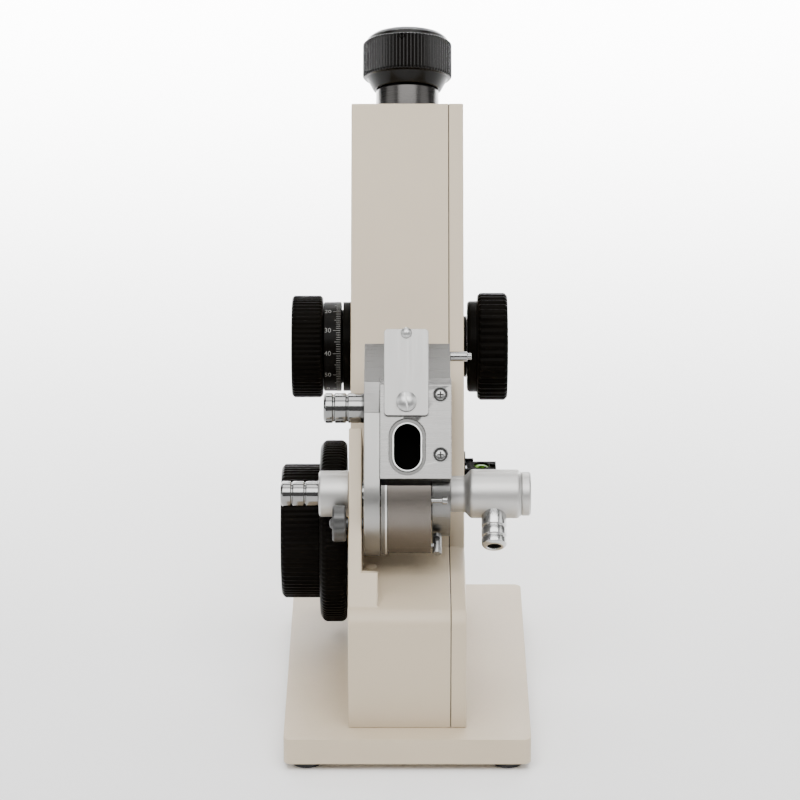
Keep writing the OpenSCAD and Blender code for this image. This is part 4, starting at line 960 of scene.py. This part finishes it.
class REFRACTOMETER_OT_fittings(bpy.types.Operator):
    """Turn the hose nozzles, the union and the thermometer fitting"""
    bl_idname = "refractometer.fittings"
    bl_label = "Fittings"
    # Nozzles that point left: node, material, frame of the lathe lines, bore radius, grooves
    left_nozzles = (
        ("lower_nozzle", "polished_nozzle", PRISM_AXIS, 2.5, (0.36, 0.70)),
        ("upper_nozzle", "polished_upper_nozzle", None, 3.0, (0.42, 0.75)),
    )

    def execute(self, context):
        for nozzle in self.left_nozzles:
            self.add_left_nozzle(*nozzle)
        self.add_drop_nozzle()
        self.add_union()
        self.add_thermometer_fitting()
        self.add_thumbwheel()
        return {"FINISHED"}

    def add_left_nozzle(self, node, metal, lines, bore, grooves):
        low, high = span(node)
        middle = (low + high) / 2
        place = pointing((high.x, middle.y, middle.z), (-1, 0, 0))
        profile = nozzle_profile(high.x - low.x, (high.z - low.z) / 2, bore, grooves)
        add_turned(node, profile, place, bright(metal, lines or place, 0.85,
            rough=(0.08, 0.16)), 128, True)

    def add_drop_nozzle(self):
        """Nozzle that drops forwards from the thermometer barrel."""
        lean, along, root, length, radius = math.radians(45.5), 32.7, 7.6, 14.3, 4.7
        drop = Vector((0, -math.sin(lean), -math.cos(lean)))
        place = pointing(PRISM_AXIS.translation + Vector((along, 0, 0)) + drop * root, drop)
        profile = nozzle_profile(length, radius, 2.5, (0.46, 0.74))
        add_turned("thermometer_nozzle", profile, place, bright("polished_drop_nozzle", place,
            1.7, rough=(0.16, 0.26)), 128, True)

    def add_union(self):
        low, high = span("left_union")
        left, right = ends("left_union")
        radius, bevel, break_in = (high.z - low.z) / 2, 0.6, 0.3
        profile = eased([(left, 0.0), (left, radius - bevel), (left + bevel, radius),
            (right - break_in, radius), (right, radius - break_in), (right, 0.0)], 0.25)
        add_turned("left_union", profile, PRISM_AXIS, satin("satin_union", PRISM_AXIS, 2.2,
            rough=(0.42, 0.54)), 128)

    def add_thermometer_fitting(self):
        """Barrel with a necked root, a rounded flare and a shoulder, and its screwed gland."""
        root, mouth = ends("thermometer_barrel")
        thread, tip = ends("thermometer_gland")
        neck, outer, shoulder, socket, bore, floor = 6.85, 9.25, 8.3, 5.9, 3.25, root + 8.4
        barrel = eased([(root, 0.0), (root, neck), (root + 5.1, neck), (root + 6.0, 7.3),
            (root + 7.4, 8.9), (root + 8.2, outer), (mouth - 1.6, outer), (mouth - 0.9, 9.0),
            (mouth - 0.5, 8.4), (mouth, shoulder), (mouth, 6.1), (thread, 6.1),
            (thread, socket), (floor, socket), (floor, 0.0)], 0.5)
        gland = eased([(thread, bore), (thread, 6.0), (mouth, 6.0), (mouth + 0.05, 8.0),
            (mouth + 0.4, shoulder), (tip - 0.6, shoulder), (tip, 7.7), (tip, 4.1),
            (tip - 0.5, bore)], 0.25, closed=True)
        metal = satin("satin_barrel", PRISM_AXIS, 2.25, rough=(0.4, 0.52))
        add_turned("thermometer_barrel", barrel, PRISM_AXIS, metal, 160)
        add_turned("thermometer_gland", gland, PRISM_AXIS, metal, 160, True)

    def add_thumbwheel(self):
        """Clamp wheel: a scalloped disc with a domed screw head on its outer face."""
        place = joint_frame("lock_turn")
        place.translation.x = middle_x()
        top, root = ends("lock_thumbwheel")
        radius, stem, dome, thick = 7.1, 2.0, 1.2, 5.1
        face, back = top + dome, top + dome + thick
        disc = eased([(face, 0.0), (face, 6.3), (face + 0.6, radius), (back - 0.5, radius),
            (back, 6.6), (back, stem), (root, stem), (root, 0.0)], 0.2)
        angle = np.arange(8) * math.pi / 16
        arc = [(face - dome * math.sin(a), stem * math.cos(a)) for a in angle[::-1]]
        head = np.array([(top, 0.0)] + arc + [(face + 0.2, stem), (face + 0.2, 0.0)])
        wheel = lathe(disc, place, 240, cut=ribs(8, 0.35, face, back, 5.5, 0.3))
        add_piece("lock_thumbwheel_turned", joined(wheel, lathe(head, place, 48)),
            "lock_thumbwheel", bright("thumbwheel_steel", place, 0.3, rough=(0.38, 0.48)), True)


def number_on_ring(text, place, angle, axial, radius, height):
    """Raised number wrapped on a cylinder: text x runs along the axis, text y up the rim."""
    size_share, half_depth, lift = 1.35, 0.03, 0.02
    curve = bpy.data.curves.new("number", "FONT")
    curve.body = text
    curve.align_x = "CENTER"
    curve.align_y = "CENTER"
    curve.size = height * size_share
    curve.extrude = half_depth
    curve.resolution_u = 3
    holder = bpy.data.objects.new("number", curve)
    mesh = holder.to_mesh()
    flat = np.empty(len(mesh.vertices) * 3)
    mesh.vertices.foreach_get("co", flat)
    flat = flat.reshape(-1, 3)
    faces = [list(face.vertices) for face in mesh.polygons]
    holder.to_mesh_clear()
    bpy.data.objects.remove(holder)
    bpy.data.curves.remove(curve)
    around = angle - flat[:, 1] / radius
    reach = radius + lift + flat[:, 2]
    points = np.stack([reach * np.cos(around), reach * np.sin(around), axial + flat[:, 0]],
        axis=-1)
    return moved(points, place), faces


class REFRACTOMETER_OT_dispersion_knobs(bpy.types.Operator):
    """Turn the dispersion knobs and print the scale on the ring"""
    bl_idname = "refractometer.dispersion_knobs"
    bl_label = "Dispersion knobs"
    # Scale: steps a turn, the last number, the step in front and its height in degrees
    steps, numbers_to, front_step, front_height = 120, 60, 40, 9.9
    # Lines of the scale, from the ring's right edge: where they start, and where the line of
    # every so many steps ends
    line_start, line_ends, line_half = 0.25, ((10, 3.2), (5, 2.6), (1, 1.9)), 0.09
    ring_radius, number_middle, number_height = 17.6, 5.2, 2.0

    def execute(self, context):
        settings = context.scene.refractometer_knobs
        black = knob_black()
        self.add_left_knob(settings.left_ribs, black)
        self.add_right_knob(settings.right_ribs, black)
        self.add_ring()
        self.add_scale()
        softened("index_collar", SMALL_EDGE, black)
        dress("right_hub", black)
        for node in ("left_gear_shaft", "right_gear_shaft"):
            dress(node, bright("shaft_brass", KNOB_AXIS, 0.9))
        return {"FINISHED"}

    def add_left_knob(self, count, black):
        """Ribbed cap with a dished face and a small boss, on a plain neck."""
        face, root = ends("dispersion_knob")
        back = ends("dispersion_ring")[0] - 0.3
        radius, neck, dish = 20.1, 12.0, face + 0.7
        profile = eased([(face + 0.4, 0.0), (face + 0.4, 4.6), (dish, 5.2), (dish, 15.0),
            (face, 16.0), (face, 19.1), (face + 0.9, radius), (back - 0.9, radius),
            (back, 19.2), (back, neck), (root, neck), (root, 0.0)], 0.4)
        add_turned("dispersion_knob", profile, KNOB_AXIS, black, count * 8,
            cut=ribs(count, 0.4, face + 0.3, back - 0.2, 18.0, 0.6, 2.0))

    def add_right_knob(self, count, black):
        """Scalloped cap with a dished face and a small boss, on a plain collar."""
        root, face = ends("right_knob")
        radius, collar, step, dish = 21.2, 18.0, root + 4.0, face - 0.7
        profile = eased([(root, 0.0), (root, 17.2), (root + 0.8, collar), (step, collar),
            (step, 20.1), (step + 1.1, radius), (face - 1.1, radius), (face, 20.0),
            (face, 16.4), (dish, 15.6), (dish, 5.2), (face - 0.3, 4.6), (face - 0.3, 0.0)], 0.4)
        add_turned("right_knob", profile, KNOB_AXIS, black, count * 8,
            cut=ribs(count, 0.7, step + 0.2, face - 0.2, 19.0, 0.7, 1.6))

    def add_ring(self):
        """Scale ring, whose hub ends clear of the index collar."""
        left, right = ends("dispersion_ring")
        hub_end = ends("index_collar")[0] - 0.15
        radius, bore, hub = self.ring_radius, 12.07, 14.5
        profile = eased([(left, bore), (left, radius - 0.4), (left + 0.4, radius),
            (right - 0.3, radius), (right, radius - 0.3), (right, hub + 0.1), (hub_end, hub),
            (hub_end, bore)], 0.15, closed=True)
        add_turned("dispersion_ring", profile, KNOB_AXIS, black_moulding("ring_black",
            (0.3, 0.45)), 192, True)

    def add_scale(self):
        """Lines and numbers, a little proud of the ring."""
        ink, radius, sunk, proud = scale_ink("scale_ink"), self.ring_radius, 0.1, 0.03
        right = ends("dispersion_ring")[1]
        marks = []
        for step in range(self.steps):
            end = next(end for every, end in self.line_ends if step % every == 0)
            turn = Matrix.Rotation(self.ring_angle(step), 4, "Z")
            marks.append(block((radius - sunk, -self.line_half, right - end), (radius + proud,
                self.line_half, right - self.line_start), KNOB_AXIS @ turn))
        add_piece("ring_lines", joined(*marks), "dispersion_ring", ink)
        numbers = [number_on_ring(str(step % self.numbers_to), KNOB_AXIS,
            self.ring_angle(step), right - self.number_middle, radius, self.number_height)
            for step in range(0, self.steps, 10)]
        add_piece("ring_numbers", joined(*numbers), "dispersion_ring", ink)

    def ring_angle(self, step):
        """Angle of a scale step round the knob axis, where the front step is in front."""
        above = math.radians(self.front_height) + (self.front_step - step) * TURN / self.steps
        return -math.pi / 2 - above


class REFRACTOMETER_OT_handwheel(bpy.types.Operator):
    """Turn the measuring handwheel and its knob"""
    bl_idname = "refractometer.handwheel"
    bl_label = "Handwheel"

    def execute(self, context):
        settings = context.scene.refractometer_knobs
        black = black_moulding("wheel_black", (0.28, 0.42), 1.3, gloss=0.02)
        self.add_disc(settings.disc_ribs, black)
        self.add_knob(settings.wheel_ribs, black)
        dress("handwheel_shaft", bright("wheel_steel", WHEEL_AXIS, 0.8))
        dress("shaft_bush", turned_metal("bush_brass", WHEEL_AXIS, BRASS))
        return {"FINISHED"}

    def add_disc(self, count, black):
        """Large disc with fine ribs round a crowned rim."""
        left, right = ends("handwheel_disc")
        radius = 35.4
        profile = eased([(left, 0.0), (left, 32.7), (left + 0.5, 33.7), (left + 1.4, 34.9),
            (left + 2.5, radius), (right - 2.0, radius), (right - 1.0, 35.0), (right, 33.9),
            (right, 0.0)], 0.5)
        add_turned("handwheel_disc", profile, WHEEL_AXIS, black, count * 6,
            cut=ribs(count, 0.35, left + 0.7, right - 0.2, 33.4, 0.8, 1.3))

    def add_knob(self, count, black):
        """Small ribbed knob with a dished face and a small boss."""
        face, root = ends("handwheel_knob")
        radius, dish = 26.1, face + 0.8
        profile = eased([(face + 0.5, 0.0), (face + 0.5, 5.6), (dish, 6.2), (dish, 20.4),
            (face, 21.4), (face, 24.6), (face + 1.3, radius), (root, radius), (root, 0.0)], 0.6)
        add_turned("handwheel_knob", profile, WHEEL_AXIS, black, count * 8,
            cut=ribs(count, 0.45, face + 0.4, root + 0.2, 24.0, 0.9, 1.6))


class REFRACTOMETER_OT_eyepiece(bpy.types.Operator):
    """Turn the milled eyepiece ring and finish the telescope"""
    bl_idname = "refractometer.eyepiece"
    bl_label = "Eyepiece"

    def execute(self, context):
        self.add_ring(context.scene.refractometer_eyepiece)
        self.add_set_screw()
        anodised = turned_metal("black_anodised", TUBE_TOP, (0.055, 0.053, 0.051), (0.2, 0.32))
        bore, radius, top = 10.6, 12.5, 11.4
        collar = eased([(0.0, bore), (0.0, radius), (11.0, radius), (top, 12.1), (top, bore)],
            0.2, closed=True)
        add_turned("eyepiece_collar", collar, TUBE_TOP, anodised, 128, True)
        for node in ("telescope_tube", "eyepiece_barrel"):
            dress(node, anodised)
        coated = optical_glass("coated_glass", (0.90, 0.93, 0.99))
        for node in ("eye_lens", "objective_lens", "reticle"):
            dress(node, coated)
        return {"FINISHED"}

    def add_ring(self, settings):
        """Ring with a flared skirt, a milled band and a rounded eye cup."""
        skirt, band, radius, thread, lens_bore, eye_hole = 11.7, 16.5, 17.8, 10.57, 9.3, 6.5
        lens_low, lens_high = 22.3, 31.0
        profile = eased([(skirt, thread), (skirt, 13.5), (band, 16.1), (band, 17.1),
            (17.2, radius), (30.4, radius), (31.0, 17.1), (31.2, 16.7), (32.6, 16.0),
            (34.2, 14.0), (35.2, 11.0), (35.5, 8.4), (35.2, 6.9), (34.6, eye_hole),
            (lens_high, eye_hole), (lens_high, lens_bore), (lens_low, lens_bore),
            (lens_low, thread)], 0.5, closed=True)
        add_turned("eyepiece_ring", profile, TUBE_TOP, black_moulding("eyepiece_black",
            (0.16, 0.26), gloss=0.18), settings.ribs * 8, True,
            ribs(settings.ribs, settings.rib_depth, 16.6, 31.0, 16.9, 0.5, 1.4))

    def add_set_screw(self):
        """Socket of the ring's set screw: a cup at the top of the front ribs, darker than the
        ring as painted shade.
        """
        round_to_front, out, up = math.radians(83), 17.45, 29.6
        place = (TUBE_TOP @ Matrix.Rotation(round_to_front, 4, "Z")
            @ Matrix.Translation((out, 0, up)) @ QUARTER_Y)
        cup = eased([(-0.9, 0.0), (-0.9, 0.75), (0.34, 0.8), (0.38, 1.0), (0.2, 1.15),
            (-1.0, 1.15), (-1.0, 0.0)], 0.05)
        # Painted shade: the socket's cup darker than the ring's black
        add_piece("ring_set_screw", lathe(cup, place, 24), "eyepiece_ring",
            black_moulding("socket_painted_shade", (0.5, 0.6), 0.4, gloss=0.02))


class REFRACTOMETER_OT_inner_parts(bpy.types.Operator):
    """Finish the parts inside the column"""
    bl_idname = "refractometer.inner_parts"
    bl_label = "Inner parts"

    def execute(self, context):
        cast = satin("inner_casting", UNIT, 0.7)
        dress("cell_mount", cast)
        dress("swing_frame", cast)
        dress("swing_pivot", bright("wheel_steel", WHEEL_AXIS, 0.8))
        brass = turned_metal("cell_brass", TUBE_TOP, BRASS)
        for node in ("lower_cell", "upper_cell"):
            dress(node, brass)
        for node in ("lower_amici", "upper_amici", "scale_plate"):
            dress(node, optical_glass("optical_glass"))
        dress("swing_mirror", silvered("silvered_glass"))
        return {"FINISHED"}


class REFRACTOMETER_OT_condenser(bpy.types.Operator):
    """Finish the flap with the green lens that lights the scale"""
    bl_idname = "refractometer.condenser"
    bl_label = "Condenser"

    def execute(self, context):
        black = knob_black()
        softened("condenser_bracket", FINE_EDGE, black, steps=2)
        softened("condenser_frame", SMALL_EDGE, black, steps=2)
        self.add_lens()
        return {"FINISHED"}

    def add_lens(self):
        """Green lens: its top falls by bulge * s ** 2 at the share s of the radius."""
        low, high = span("condenser_lens")
        radius, thick, bulge = (high.x - low.x) / 2, high.z - low.z, 0.6
        top = [(thick / 2 - bulge * s * s, radius * s) for s in np.linspace(1, 0, 9)]
        profile = np.array([(-thick / 2, 0.0), (-thick / 2, radius)] + top)
        lens = lathe(profile, Matrix.Translation((low + high) / 2), 64)
        add_piece("condenser_lens_ground", lens, "condenser_lens",
            optical_glass("green_glass", (0.045, 0.12, 0.012), 0.05), True)


class REFRACTOMETER_PT_panel(bpy.types.Panel):
    """Sizes, colours and one button for each group of pieces"""
    bl_idname = "REFRACTOMETER_PT_panel"
    bl_label = "Abbe refractometer"
    bl_space_type = "VIEW_3D"
    bl_region_type = "UI"
    bl_category = "Refractometer"

    def draw(self, context):
        for name in SETTINGS:
            box = self.layout.box()
            group = getattr(context.scene, name)
            for prop in group.bl_rna.properties.keys():
                if prop not in ("rna_type", "name"):
                    box.prop(group, prop)
        for operator in OPERATORS:
            self.layout.operator(operator.bl_idname)


SETTINGS = {
    "refractometer_enamel": EnamelSettings,
    "refractometer_metal": MetalSettings,
    "refractometer_knobs": KnobSettings,
    "refractometer_eyepiece": EyepieceSettings,
    "refractometer_stage": StageSettings,
}
OPERATORS = (
    REFRACTOMETER_OT_stage,
    REFRACTOMETER_OT_castings,
    REFRACTOMETER_OT_prism_unit,
    REFRACTOMETER_OT_fittings,
    REFRACTOMETER_OT_dispersion_knobs,
    REFRACTOMETER_OT_handwheel,
    REFRACTOMETER_OT_eyepiece,
    REFRACTOMETER_OT_inner_parts,
    REFRACTOMETER_OT_condenser,
)


def register():
    for cls in (*SETTINGS.values(), *OPERATORS, REFRACTOMETER_PT_panel):
        bpy.utils.register_class(cls)
    for name, cls in SETTINGS.items():
        setattr(bpy.types.Scene, name, PointerProperty(type=cls))


def unregister():
    for name in SETTINGS:
        delattr(bpy.types.Scene, name)
    for cls in (REFRACTOMETER_PT_panel, *reversed(OPERATORS), *SETTINGS.values()):
        bpy.utils.unregister_class(cls)


def plain(box):
    return [list(corner) for corner in box]


def main():
    register()
    bpy.ops.refractometer.stage()
    bpy.ops.refractometer.castings()
    bpy.ops.refractometer.prism_unit()
    bpy.ops.refractometer.fittings()
    bpy.ops.refractometer.dispersion_knobs()
    bpy.ops.refractometer.handwheel()
    bpy.ops.refractometer.eyepiece()
    bpy.ops.refractometer.inner_parts()
    bpy.ops.refractometer.condenser()


if __name__ == "__main__":
    main()
